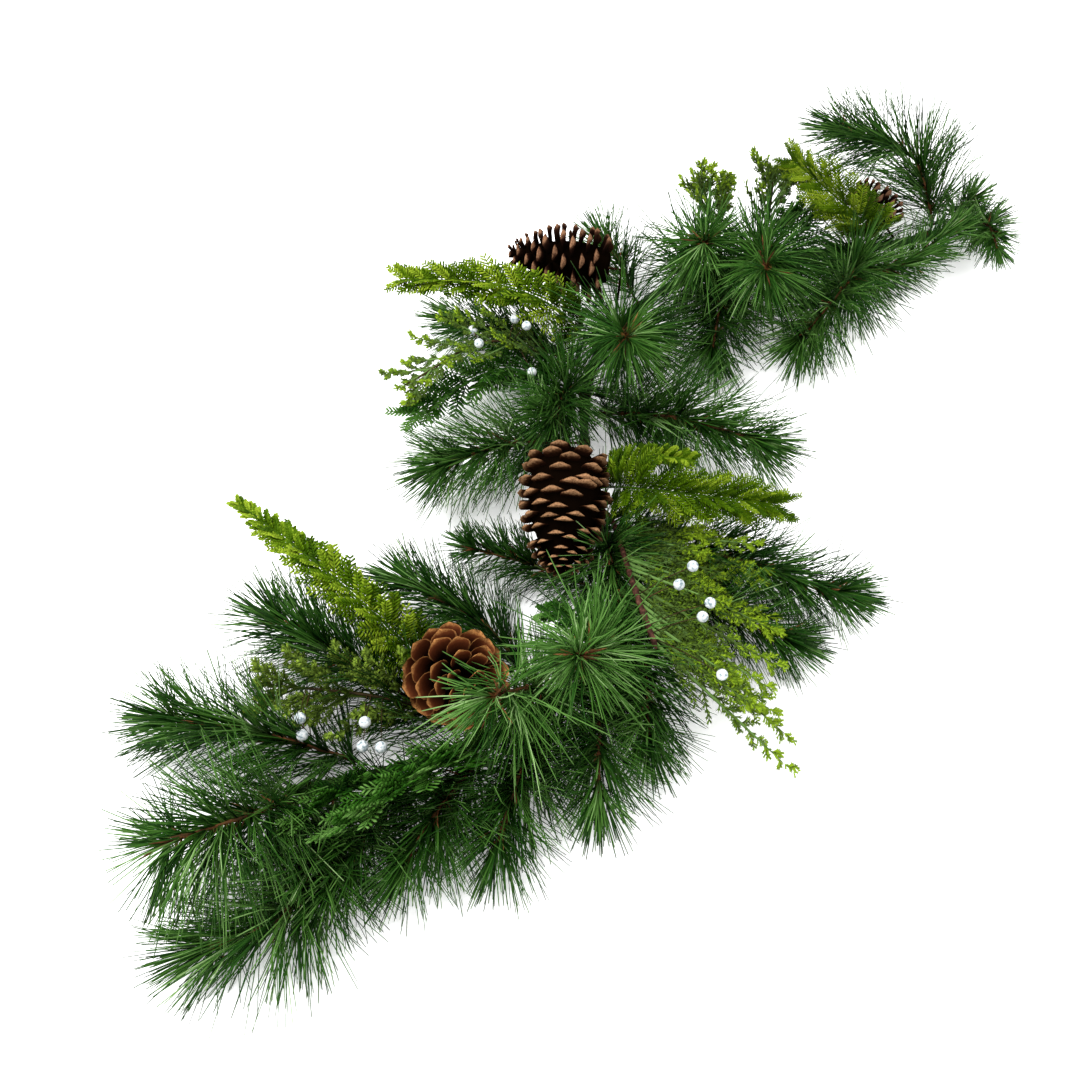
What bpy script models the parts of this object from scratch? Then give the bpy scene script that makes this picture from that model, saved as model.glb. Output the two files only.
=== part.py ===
"""A five-foot Christmas garland, lying in an S on a table.

One wrapped wire vine carries every other piece: sprays of long pine needles, flat cedar
picks, juniper picks with white berries, and four pine cones. Each is a wired pick whose
root sits on one of the vine's eight sides. The vine lies flat on the surface, so +Z is
up, the origin is under the vine near its middle, and +X runs along the garland.
"""

import math
import random

import bpy
import numpy as np
from mathutils import Vector
from mathutils.geometry import intersect_ray_tri

UP = Vector((0, 0, 1))
SEED = 12

# Vine: wire and tape with eight flats, one of them on the surface.
VINE_HALF = 0.0048
VINE_SIDES = 8
VINE_STEP = 0.034
VINE_POINTS = (
    (-0.46, -0.15), (-0.41, -0.18), (-0.34, -0.21), (-0.27, -0.23), (-0.21, -0.24), (-0.15, -0.22),
    (-0.12, -0.16), (-0.08, -0.09), (0.00, 0.00), (0.06, 0.04), (0.16, 0.06), (0.26, 0.04),
    (0.34, -0.01), (0.42, -0.06), (0.52, -0.10),
)

# A pick's root clears the vine by the seat gap, and the pieces clear each other by the piece gap.
SEAT_GAP = 0.0003
PIECE_GAP = 0.0004
LIFT_OFF = 0.012
STEM_ARCH = 0.012
STEM_POINT = 0.010
FLOOR = 0.0006
# What a stem keeps free for itself, at its root and at its tip.
STEM_ROOM = (0.0018, 0.0012)
ROD_STEP = 0.012
# Where the bare part of a stem has its sections, as shares of it.
BARE_STOPS = (0.35, 0.7)

# Pine sprays: a slim stem with whorls of eight three-sided needles.
PINE_HALF = 0.0014
PINE_BARE = 0.030
WHORL_BAND = 0.0020
WHORL_EVERY = 0.0188
WHORL_TURN = math.radians(22)
NEEDLE_LENGTH = 0.082
NEEDLE_HALF = 0.0014
NEEDLE_LEANS = (math.radians(52), math.radians(26))
NEEDLE_SWING = math.radians(17)
# A needle that finds no room tries again, ever looser in its lean and shorter.
NEEDLE_TRIES = 60
NEEDLE_LOOSE = (0.05, 0.35)
NEEDLE_SHORTEST = 0.55
NEEDLE_VARIES = (0.88, 1.04)
NEEDLE_LEAST_OUT = 0.22
NEEDLE_FREE = 0.13

# Cedar picks: flat lobed leaflets in two ranks.
CEDAR_HALF = 0.0012
CEDAR_FLAT = 0.8
CEDAR_BARE_SHARE = 0.2
CEDAR_TWIST = 0.22
LEAFLET_BAND = 0.0035
LEAFLET_EVERY = 0.0195
LEAFLET_LENGTH = 0.034
LEAFLET_LEAST = 0.014
LEAFLET_THICK = 0.0011
LEAFLET_LEAN = math.radians(50)
LEAFLET_LEAN_VARIES = math.radians(5)
LEAFLET_LIFT = (-0.15, 0.35)
LEAFLET_FREE = 0.45
# Along the leaflet, and half its width, as shares of its length: two lobes and the cut between.
LEAFLET_OUTLINE = ((0.34, 0.19), (0.46, 0.08), (0.76, 0.14))

# Juniper picks: twigs with whorls of four buds, and berries on stalks of their own.
JUNIPER_HALF = 0.0015
TWIG_HALF = 0.0008
TWIG_LENGTHS = (0.063, 0.008)
TWIG_LEAN = math.radians(40)
TWIG_LIFT = math.radians(28)
TWIG_PLACES = ((0.40, 3), (0.52, 1), (0.64, 3), (0.76, 1), (0.86, 3))
TWIG_BAND = 0.0022
BUD_EVERY = 0.018
FIRST_BUD_SHARE = 0.35
BUD_LENGTH = 0.012
BUD_HALF = 0.0012
BUD_LEAN = (math.radians(28), math.radians(50))
BUD_TRIES = 10
BUD_FREE = 0.4
TWIG_ROOM = 0.0012
TWIG_BEND = 0.12
# Choosing a berry's whorl: how much a metre of stalk weighs against facing the berry.
NEAR_WEIGHT = 5
STALK_ARCH = 0.004
STALK_NECK = 0.0012
BERRY_RADIUS = 0.0046

# Cones: open scales in staggered rings on an oval core.
SCALE_BAND = 0.0042
SCALE_THICK = 0.0042
SCALE_FILL = 0.58
SCALE_LEAST = 0.006
SCALE_RISES = (math.radians(-22), math.radians(60))
UMBO = 0.0050
WIRE_HALF = 0.0016
WIRE_END = 0.014
# Where the cone is widest, how far its outline runs to either side, as shares of its length, and
# how suddenly it is drawn in towards the tip.
CONE_WIDEST = 0.32
CONE_REACHES = (0.42, 0.74)
CONE_TAPER = 1.9
CORE_SHARE = 0.36
CORE_LEAST = 0.002
FIRST_RING = 0.35

# Pine sprays: place along the vine, points that the stem passes, its tip, and how long its
# needles are as a share of the usual length.
PINES = (
    ("pine_01", 0.055, (), (-0.495, -0.063, 0.045), 1.00),
    ("pine_02", 0.14, (), (-0.385, -0.045, 0.045), 1.00),
    ("pine_03", 0.22, ((-0.255, -0.16, 0.030), (-0.27, -0.12, 0.045)), (-0.283, -0.085, 0.050), 0.82),
    ("pine_04", 0.02, ((-0.52, -0.17, 0.075),), (-0.547, -0.156, 0.068), 0.95),
    ("pine_05", 0.035, ((-0.507, -0.237, 0.035),), (-0.564, -0.223, 0.030), 1.00),
    ("pine_06", 0.09, (), (-0.48, -0.242, 0.030), 0.87),
    ("pine_07", 0.15, (), (-0.425, -0.265, 0.035), 0.93),
    ("pine_08", 0.20, (), (-0.368, -0.298, 0.030), 0.93),
    ("pine_09", 0.26, (), (-0.288, -0.322, 0.045), 0.87),
    ("pine_10", 0.28, (), (-0.252, -0.258, 0.120), 0.95),
    ("pine_11", 0.23, (), (-0.319, -0.241, 0.118), 0.95),
    ("pine_12", 0.32, (), (-0.228, -0.315, 0.035), 0.87),
    ("pine_13", 0.42, (), (-0.023, -0.329, 0.050), 0.87),
    ("pine_14", 0.36, (), (-0.077, -0.325, 0.030), 0.86),
    ("pine_15", 0.37, ((-0.178, -0.129, 0.018),), (-0.215, -0.086, 0.035), 0.55),
    ("pine_16", 0.54, (), (-0.181, -0.009, 0.055), 1.00),
    ("pine_17", 0.58, (), (0.04, -0.18, 0.065), 1.00),
    ("pine_18", 0.68, (), (0.01, -0.04, 0.110), 1.00),
    ("pine_19", 0.64, (), (-0.045, 0.132, 0.040), 1.00),
    ("pine_20", 0.75, (), (0.135, 0.118, 0.050), 0.90),
    ("pine_21", 0.82, (), (0.16, 0.004, 0.110), 1.00),
    ("pine_22", 0.90, (), (0.176, -0.062, 0.110), 1.00),
    ("pine_23", 1.02, ((0.29, -0.09, 0.045),), (0.19, -0.113, 0.050), 1.00),
    ("pine_24", 0.86, (), (0.128, -0.052, 0.030), 1.00),
    ("pine_25", 1.115, ((0.462, -0.056, 0.060), (0.467, -0.019, 0.082)), (0.437, 0.044, 0.090), 1.12),
    ("pine_26", 1.00, ((0.36, -0.098, 0.028),), (0.435, -0.115, 0.050), 0.65),
    ("pine_27", 1.145, (), (0.49, -0.105, 0.055), 0.50),
    ("pine_28", 1.165, (), (0.46, -0.16, 0.040), 0.50),
    ("pine_29", 0.60, (), (-0.078, -0.038, 0.065), 0.90),
    ("pine_30", 0.43, (), (-0.165, -0.215, 0.050), 0.90),
)

# Cedar picks, as above, with the widest leaflet as a share of the usual one.
LIME_CEDARS = (
    ("cedar_lime_1", 0.175, ((-0.315, -0.15, 0.028), (-0.330, -0.113, 0.075), (-0.343, -0.056, 0.100)),
     (-0.356, 0.052, 0.090), 1.0),
    ("cedar_lime_2", 0.665, ((0.009, 0.056, 0.080), (-0.024, 0.109, 0.095)), (-0.084, 0.179, 0.090), 1.15),
    ("cedar_lime_3", 0.475, ((-0.09, -0.16, 0.085),), (-0.02, -0.25, 0.090), 1.25),
    ("cedar_lime_4", 0.495, (), (-0.039, -0.174, 0.095), 0.6),
    ("cedar_lime_5", 1.03, ((0.341, -0.062, 0.075), (0.326, -0.025, 0.100)),
     (0.334, 0.038, 0.104), 1.35),
)
DARK_CEDARS = (
    ("cedar_dark_1", 0.17, (), (-0.45, -0.235, 0.085), 1.5),
    ("cedar_dark_2", 0.075, (), (-0.475, -0.20, 0.060), 1.0),
    ("cedar_dark_3", 0.59, ((-0.058, 0.058, 0.040),), (-0.161, 0.072, 0.038), 1.2),
    ("cedar_dark_4", 0.31, (), (-0.218, -0.183, 0.050), 0.7),
    ("cedar_dark_5", 0.95, (), (0.321, -0.001, 0.066), 1.25),
)

# Juniper picks: place along the vine, stem points, stem tip, and where the berries hang.
JUNIPERS = (
    ("juniper_1", 0.16, (), (-0.43, -0.09, 0.060),
     ((-0.425, -0.136, 0.065), (-0.431, -0.146, 0.060), (-0.392, -0.176, 0.075), (-0.403, -0.186, 0.065),
      (-0.394, -0.198, 0.070))),
    ("juniper_3", 0.625, ((-0.06, 0.07, 0.070),), (-0.160, 0.083, 0.067),
     ((-0.070, 0.088, 0.078), (-0.083, 0.062, 0.088), (-0.031, 0.071, 0.080), (-0.034, 0.05, 0.088),
      (-0.059, 0.014, 0.070))),
    ("juniper_4", 0.92, (), (0.322, 0.050, 0.085), ()),
    ("juniper_5", 0.87, (), (0.252, 0.092, 0.078), ()),
)

# Cones: place along the vine, base and tip of the cone, its width, its rings and scales a ring.
CONES = (
    ("cone_middle", 0.49, (-0.110, -0.090, 0.080), (-0.182, -0.163, 0.055), 0.084, 8, 8),
    ("cone_left", 0.19, (-0.315, -0.163, 0.055), (-0.322, -0.222, 0.102), 0.080, 6, 8),
    ("cone_top", 0.70, (0.088, 0.064, 0.080), (0.028, 0.145, 0.080), 0.079, 6, 7),
    ("cone_right", 1.04, (0.385, -0.065, 0.050), (0.380, -0.020, 0.080), 0.058, 4, 6),
)

# The long brown stem right of the middle cone, with all its twigs on one side, and their tips.
FAN_AT = 0.455
FAN_VIA = ((-0.100, -0.140, 0.030), (-0.125, -0.175, 0.055), (-0.160, -0.225, 0.080))
FAN_TIP = (-0.19, -0.28, 0.085)
FAN_TWIGS = (
    (0.34, (-0.055, -0.265, 0.070)),
    (0.46, (-0.07, -0.30, 0.060)),
    (0.58, (-0.09, -0.32, 0.060)),
    (0.70, (-0.115, -0.345, 0.055)),
    (0.82, (-0.14, -0.36, 0.050)),
    (0.94, (-0.148, -0.406, 0.035)),
)
FAN_BERRIES = (
    (-0.14, -0.254, 0.095), (-0.125, -0.253, 0.105), (-0.134, -0.282, 0.095), (-0.145, -0.285, 0.090),
    (-0.166, -0.327, 0.080),
)


def clear_scene():
    """Remove what the scene holds."""
    for thing in list(bpy.data.objects):
        bpy.data.objects.remove(thing, do_unlink=True)


def finish(name, color, roughness):
    """A plain Principled material."""
    made = bpy.data.materials.new(name)
    made.use_nodes = True
    shader = made.node_tree.nodes["Principled BSDF"]
    shader.inputs["Base Color"].default_value = (*color, 1.0)
    shader.inputs["Roughness"].default_value = roughness
    return made


def blend(ends, share):
    """A value between two ends."""
    return ends[0] + (ends[1] - ends[0]) * share


def smooth_curve(points, steps=12):
    """A Catmull-Rom curve through the points, as a dense list."""
    ends = [points[0] * 2 - points[1], *points, points[-1] * 2 - points[-2]]
    dense = []
    for before, start, end, after in zip(ends, ends[1:], ends[2:], ends[3:]):
        for step in range(steps):
            t = step / steps
            dense.append(0.5 * (2 * start + (end - before) * t
                                + (2 * before - 5 * start + 4 * end - after) * t * t
                                + (3 * start - before - 3 * end + after) * t ** 3))
    dense.append(points[-1])
    return dense


class Route:
    """A path that gives a point, a heading and a sideways direction at any distance along it."""

    def __init__(self, points, side):
        self.points = points
        self.marks = [0.0]
        for start, end in zip(points, points[1:]):
            self.marks.append(self.marks[-1] + (end - start).length)
        self.length = self.marks[-1]
        self.headings = []
        self.sides = []
        for index in range(len(points)):
            before = points[max(index - 1, 0)]
            after = points[min(index + 1, len(points) - 1)]
            heading = (after - before).normalized()
            side = (side - heading * side.dot(heading)).normalized()
            self.headings.append(heading)
            self.sides.append(side)

    def span(self, distance):
        """The stretch that holds this distance, and how far along it lies."""
        index = int(np.searchsorted(self.marks, distance, side="right")) - 1
        index = max(0, min(index, len(self.points) - 2))
        share = (distance - self.marks[index]) / (self.marks[index + 1] - self.marks[index])
        return index, share

    def point(self, distance):
        index, share = self.span(distance)
        return self.points[index].lerp(self.points[index + 1], share)

    def heading(self, distance):
        index, share = self.span(distance)
        return self.headings[index].lerp(self.headings[index + 1], share).normalized()

    def beyond(self, distance):
        """A point straight past the end."""
        return self.points[-1] + self.headings[-1] * distance

    def frame(self, distance):
        """Point, heading, sideways and the third direction, all at right angles."""
        index, share = self.span(distance)
        heading = self.heading(distance)
        side = self.sides[index].lerp(self.sides[index + 1], share)
        side = (side - heading * side.dot(heading)).normalized()
        return self.point(distance), heading, side, heading.cross(side)


class Rods:
    """Tapered rods already placed, so that a new one can be kept clear of them."""

    MOST = 12000

    def __init__(self):
        self.rows = np.zeros((self.MOST, 10))
        self.count = 0

    def add(self, owner, start, end, half, end_half, free=0.0):
        """Free is the share next to its root that may come near its own pick's other rods."""
        self.rows[self.count] = (*start, *end, half, end_half, owner, free)
        self.count += 1

    def margin(self, owner, start, end, half, end_half, free=0.0):
        """The least clearance between a new rod and those placed."""
        rows = self.rows[:self.count]
        a = np.array(start)
        run = np.array(end) - a
        runs = rows[:, 3:6] - rows[:, 0:3]
        offset = a - rows[:, 0:3]
        run_run = run @ run
        runs_runs = np.einsum("ij,ij->i", runs, runs)
        both = runs @ run
        along = offset @ run
        across = np.einsum("ij,ij->i", runs, offset)
        spread = np.maximum(run_run * runs_runs - both * both, 1e-16)
        s = np.clip((both * across - along * runs_runs) / spread, 0, 1)
        t = np.clip((both * s + across) / runs_runs, 0, 1)
        s = np.clip((both * t - along) / run_run, 0, 1)
        apart = np.linalg.norm(offset + s[:, None] * run - t[:, None] * runs, axis=1)
        apart -= half + (end_half - half) * s + rows[:, 6] + (rows[:, 7] - rows[:, 6]) * t
        shared_root = (rows[:, 8] == owner) & (s <= free) & (t <= rows[:, 9])
        return float(np.min(np.where(shared_root, 1.0, apart)))


class Growth:
    """A closed mesh that grows: each face is kept, drawn out to a point, or drawn out as a limb."""

    def __init__(self):
        self.points = []
        self.faces = []

    def corners(self, points):
        """Add points and give their places."""
        first = len(self.points)
        self.points.extend(points)
        return list(range(first, len(self.points)))

    def keep(self, face):
        self.faces.append(tuple(face))

    def middle(self, face):
        return sum((self.points[corner] for corner in face), Vector()) / len(face)

    def outward(self, face):
        first = self.points[face[2]] - self.points[face[0]]
        second = self.points[face[-1]] - self.points[face[1]]
        return first.cross(second).normalized()

    def spike(self, face, tip):
        """Draw the face out to a point."""
        top = self.corners([tip])[0]
        for here, there in zip(face, [*face[1:], face[0]]):
            self.faces.append((here, there, top))

    def loft(self, face, points):
        """Draw the face out to a new one. Gives the new face, and the sides, still to be added."""
        end = self.corners(points)
        sides = []
        for k in range(len(face)):
            after = (k + 1) % len(face)
            sides.append((face[k], face[after], end[after], end[k]))
        return end, sides

    def loft_kept(self, face, points):
        end, sides = self.loft(face, points)
        for side in sides:
            self.keep(side)
        return end

    def build(self, name, material):
        mesh = bpy.data.meshes.new(name)
        mesh.from_pydata([tuple(point) for point in self.points], [], self.faces)
        mesh.update()
        mesh.materials.append(material)
        thing = bpy.data.objects.new(name, mesh)
        bpy.context.scene.collection.objects.link(thing)
        return thing


def ring(route, distance, half, sides, turn=0.0, flat=1.0):
    """The corners of a stem's section. Flat squeezes it along the third direction."""
    centre, _, side, third = route.frame(distance)
    corners = []
    for k in range(sides):
        angle = turn + 2 * math.pi * (k + 0.5) / sides
        corners.append(centre + side * (half * math.cos(angle)) + third * (half * flat * math.sin(angle)))
    return corners


def vine_route():
    """The vine's centre line, as straight runs of one length, level on its flats."""
    height = VINE_HALF * math.cos(math.pi / VINE_SIDES)
    curve = smooth_curve([Vector((x, y, height)) for x, y in VINE_POINTS])
    fine = Route(curve, Vector((0, 1, 0)))
    count = round(fine.length / VINE_STEP)
    stops = [fine.point(fine.length * step / count) for step in range(count + 1)]
    return Route(stops, UP.cross(stops[1] - stops[0]))


def vine_part(route, material):
    """The wrapped wire itself."""
    grown = Growth()
    end = grown.corners(ring(route, 0.0, VINE_HALF, VINE_SIDES))
    grown.keep(reversed(end))
    for mark in route.marks[1:]:
        end = grown.loft_kept(end, ring(route, mark, VINE_HALF, VINE_SIDES))
    grown.keep(end)
    return grown.build("vine", material)


def seat(vine, at, target):
    """Where a pick starts on the vine: the flat that looks most towards the target."""
    index, _ = vine.span(at)
    heading = (vine.points[index + 1] - vine.points[index]).normalized()
    centre = vine.point(at)
    left = UP.cross(heading).normalized()
    normals = []
    for eighth in range(0, 5):
        angle = math.pi * eighth / 4
        normals.append(left * math.cos(angle) + UP * math.sin(angle))
    out = max(normals, key=lambda normal: normal.dot((target - centre).normalized()))
    reach = VINE_HALF * math.cos(math.pi / VINE_SIDES) + SEAT_GAP
    return centre + out * reach, out, heading


def pick_route(vine, at, via, tip):
    """The stem of a pick: straight off the vine, then in one smooth curve to its tip."""
    tip = Vector(tip)
    stops = [Vector(stop) for stop in via]
    start, out, heading = seat(vine, at, stops[0] if stops else tip)
    first = start + out * LIFT_OFF
    if not stops:
        stops = [(first + tip) / 2 + UP * STEM_ARCH]
    curve = smooth_curve([first, *stops, tip])
    return Route([start, *curve], heading)


def core_rods(rods, owner, route, half, end_half):
    """Note a stem, so that the other picks stay clear of it."""
    count = max(2, round(route.length / ROD_STEP))
    for step in range(count):
        a, b = step / count, (step + 1) / count
        rods.add(owner, route.point(route.length * a), route.point(route.length * b),
                 half + (end_half - half) * a, half + (end_half - half) * b, free=1.0)
    rods.add(owner, route.point(route.length), route.beyond(STEM_POINT), end_half, 0.0, free=1.0)


def spikes_cross(first, second):
    """Whether an edge of one spike passes through a side of the other."""
    for one, other in ((first, second), (second, first)):
        for corner in one[:3]:
            start = corner.lerp(one[3], 0.02)
            run = one[3] - start
            for k in range(3):
                hit = intersect_ray_tri(other[k], other[(k + 1) % 3], other[3], run, start, True)
                if hit is not None and (hit - start).length < run.length:
                    return True
    return False


def find_tip(rods, owner, corners, normal, axis, radial, lean, length, nearby, rng):
    """A needle's point: near the wanted direction, clear of all that is placed, or None."""
    start = sum(corners, Vector()) / 3
    around = axis.cross(radial)
    for attempt in range(NEEDLE_TRIES):
        late = attempt / NEEDLE_TRIES
        swing = rng.uniform(-NEEDLE_SWING, NEEDLE_SWING)
        angle = lean + rng.gauss(0, blend(NEEDLE_LOOSE, late))
        outward = radial * math.cos(swing) + around * math.sin(swing)
        heading = axis * math.cos(angle) + outward * math.sin(angle)
        reach = length * blend((1.0, NEEDLE_SHORTEST), late) * rng.uniform(*NEEDLE_VARIES)
        tip = start + heading * reach
        tip.z = max(tip.z, FLOOR)
        if (tip - start).normalized().dot(normal) < NEEDLE_LEAST_OUT:
            continue
        if rods.margin(owner, start, tip, NEEDLE_HALF, 0.0, NEEDLE_FREE) < PIECE_GAP:
            continue
        spike = (*corners, tip)
        if any(spikes_cross(spike, other) for other in nearby):
            continue
        rods.add(owner, start, tip, NEEDLE_HALF, 0.0, NEEDLE_FREE)
        nearby.append(spike)
        return tip
    return None


def pine_spray(name, owner, route, needle_share, rods, material):
    """Whorls of needles that lean further forward towards the stem's tip."""
    rng = random.Random(SEED + owner)
    grown = Growth()
    end = grown.corners(ring(route, 0.0, PINE_HALF, 4))
    grown.keep(reversed(end))
    for share in BARE_STOPS:
        end = grown.loft_kept(end, ring(route, PINE_BARE * share, PINE_HALF, 4))
    nearby = []
    count = max(4, round((route.length - PINE_BARE) / WHORL_EVERY))
    for whorl in range(count):
        distance = PINE_BARE + (route.length - PINE_BARE) * whorl / count
        turn = WHORL_TURN * (whorl + 1)
        share = whorl / (count - 1)
        end = grown.loft_kept(end, ring(route, distance, PINE_HALF, 4, turn))
        band_end = ring(route, distance + WHORL_BAND, PINE_HALF, 4, turn)
        end, sides = grown.loft(end, band_end)
        centre, axis, _, _ = route.frame(distance)
        lean = blend(NEEDLE_LEANS, share)
        for side in sides:
            for face in ((side[0], side[1], side[2]), (side[0], side[2], side[3])):
                radial = grown.middle(face) - centre
                radial = (radial - axis * radial.dot(axis)).normalized()
                corners = [grown.points[corner] for corner in face]
                tip = find_tip(rods, owner, corners, grown.outward(side), axis, radial, lean,
                               NEEDLE_LENGTH * needle_share, nearby, rng)
                if tip is None:
                    grown.keep(face)
                else:
                    grown.spike(face, tip)
    grown.spike(end, route.beyond(STEM_POINT))
    return grown.build(name, material)


def leaflet(grown, face, start, heading, length, flat_side):
    """A flat lobed leaflet drawn out of a stem's face."""
    wide = (flat_side - heading * flat_side.dot(heading)).normalized()
    thick = wide.cross(heading) * (LEAFLET_THICK / 2)
    end = face
    for along, half in LEAFLET_OUTLINE:
        centre = start + heading * (length * along)
        edge = wide * (length * half)
        end = grown.loft_kept(end, (centre - edge - thick, centre - edge + thick,
                                    centre + edge + thick, centre + edge - thick))
    grown.spike(end, start + heading * length)


def leaflet_way(rods, owner, start, axis, normal, length, rng):
    """A leaflet's heading and length, clear of all that is placed, or None."""
    while length > LEAFLET_LEAST:
        lean = LEAFLET_LEAN + rng.uniform(-LEAFLET_LEAN_VARIES, LEAFLET_LEAN_VARIES)
        lift = UP * rng.uniform(*LEAFLET_LIFT)
        heading = (axis * math.cos(lean) + normal * math.sin(lean) + lift).normalized()
        tip = start + heading * length
        half = length * LEAFLET_OUTLINE[0][1]
        rod = (owner, start + heading * half * 0.8, tip, half, half * 0.7, LEAFLET_FREE)
        if tip.z > FLOOR and rods.margin(*rod) > PIECE_GAP:
            rods.add(*rod)
            return heading, length
        length *= 0.95
    return None


def cedar_pick(name, owner, route, widest, rods, material):
    """Leaflets in pairs on a stem, longest near its lower third."""
    rng = random.Random(SEED + owner)
    grown = Growth()
    end = grown.corners(ring(route, 0.0, CEDAR_HALF, 4, flat=CEDAR_FLAT))
    grown.keep(reversed(end))
    bare = route.length * CEDAR_BARE_SHARE
    for share in BARE_STOPS:
        end = grown.loft_kept(end, ring(route, bare * share, CEDAR_HALF, 4, flat=CEDAR_FLAT))
    count = round((route.length - bare) / LEAFLET_EVERY)
    for pair in range(count):
        share = pair / (count - 1)
        distance = bare + (route.length - bare) * pair / count
        turn = CEDAR_TWIST * math.sin(2 * pair)
        # The first pair is a little short, and from there on they shorten towards the tip.
        length = LEAFLET_LENGTH * widest * (1 - 0.5 * share) * (0.75 if pair == 0 else 1.0)
        end = grown.loft_kept(end, ring(route, distance, CEDAR_HALF, 4, turn, CEDAR_FLAT))
        end, sides = grown.loft(end, ring(route, distance + LEAFLET_BAND, CEDAR_HALF, 4, turn,
                                          CEDAR_FLAT))
        axis = route.heading(distance)
        for index, side in enumerate(sides):
            start = grown.middle(side)
            found = None
            if index in (1, 3):
                found = leaflet_way(rods, owner, start, axis, grown.outward(side), length, rng)
            if found is None:
                grown.keep(side)
            else:
                leaflet(grown, side, start, *found, axis)
    grown.spike(end, route.beyond(STEM_POINT))
    return grown.build(name, material)


def section(centre, heading, wide, half):
    """Four corners round a limb, in the order that its face has."""
    wide = (wide - heading * wide.dot(heading)).normalized()
    other = wide.cross(heading)
    return (centre - wide * half - other * half, centre - wide * half + other * half,
            centre + wide * half + other * half, centre + wide * half - other * half)


def bud_tip(rods, owner, start, axis, radial, rng):
    """A bud's point, clear of all that is placed, or None."""
    for attempt in range(BUD_TRIES):
        lean = rng.uniform(*BUD_LEAN)
        heading = axis * math.cos(lean) + radial * math.sin(lean)
        tip = start + heading * (BUD_LENGTH * rng.uniform(0.7, 1.1))
        rod = (owner, start, tip, BUD_HALF, 0.0, BUD_FREE)
        if tip.z > FLOOR and rods.margin(*rod) > PIECE_GAP:
            rods.add(*rod)
            return tip
    return None


def buds(grown, sides, centre, axis, owner, rods, rng):
    """A whorl of small buds that lean forward."""
    for side in sides:
        start = grown.middle(side)
        radial = start - centre
        radial = (radial - axis * radial.dot(axis)).normalized()
        tip = bud_tip(rods, owner, start, axis, radial, rng)
        if tip is None:
            grown.keep(side)
        else:
            grown.spike(side, tip)


def twig(grown, face, points, wide, owner, rods, rng):
    """A limb of four sides along a curve, with whorls of buds on its outer part."""
    path = Route(smooth_curve(points, 6), wide)
    core_rods(rods, owner, path, TWIG_ROOM, TWIG_ROOM)
    count = max(2, round(path.length * (1 - FIRST_BUD_SHARE) / BUD_EVERY))
    end = face
    for whorl in range(count):
        distance = path.length * blend((FIRST_BUD_SHARE, 1.0), whorl / count)
        centre, axis, side, _ = path.frame(distance)
        end = grown.loft_kept(end, section(centre, axis, side, TWIG_HALF))
        centre, axis, side, _ = path.frame(distance + TWIG_BAND)
        end, sides = grown.loft(end, section(centre, axis, side, TWIG_HALF))
        buds(grown, sides, centre, axis, owner, rods, rng)
    grown.spike(end, path.beyond(STEM_POINT / 2))


def berry(grown, face, centre, heading, wide):
    """A round berry of eight sides, drawn out of a stalk's end."""
    wide = (wide - heading * wide.dot(heading)).normalized()
    other = wide.cross(heading)
    # The first loop starts beside the face's first corner, and goes round the way the face does.
    loops = []
    for share in (-0.5, 0.5):
        half = BERRY_RADIUS * math.sqrt(1 - share * share)
        loop = []
        for k in range(8):
            angle = math.radians(-157.5 + 45 * k)
            loop.append(centre + heading * (BERRY_RADIUS * share) + wide * (half * math.sin(angle))
                        + other * (half * math.cos(angle)))
        loops.append(loop)
    corners = grown.corners(loops[0])
    for k in range(4):
        after = (k + 1) % 4
        grown.keep((face[k], corners[2 * k + 1], corners[2 * k]))
        grown.keep((face[k], face[after], corners[(2 * k + 2) % 8], corners[2 * k + 1]))
    corners = grown.loft_kept(corners, loops[1])
    grown.spike(corners, centre + heading * BERRY_RADIUS)


def note_stalks(rods, owner, route, limbs):
    """Keep the way to each berry free, before any twig is drawn."""
    for share, wanted in limbs:
        start = route.point(route.length * share)
        for kind, index, target in wanted:
            if kind == "berry":
                middle = (start + target) / 2 + stem_normals(route, share)[index] * STALK_ARCH
                core_rods(rods, owner, Route([start, middle, target], UP), TWIG_ROOM, TWIG_ROOM)
                rods.add(owner, target, target + UP * PIECE_GAP, BERRY_RADIUS, BERRY_RADIUS, free=1.0)


def stalk_and_berry(grown, face, target, wide):
    """A thin stalk from a stem's face to a berry."""
    start = grown.middle(face)
    middle = (start + target) / 2 + grown.outward(face) * STALK_ARCH
    heading = (target - middle).normalized()
    before = target - heading * (BERRY_RADIUS + STALK_NECK)
    end = grown.loft_kept(face, section(middle, (before - start).normalized(), wide, TWIG_HALF * 0.8))
    end = grown.loft_kept(end, section(before, heading, wide, TWIG_HALF * 0.7))
    berry(grown, end, target, heading, wide)


def stem_normals(route, share):
    """Which way the four faces of a stem look, in the order that its sections have."""
    _, _, side, third = route.frame(route.length * share)
    return third, -side, -third, side


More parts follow.
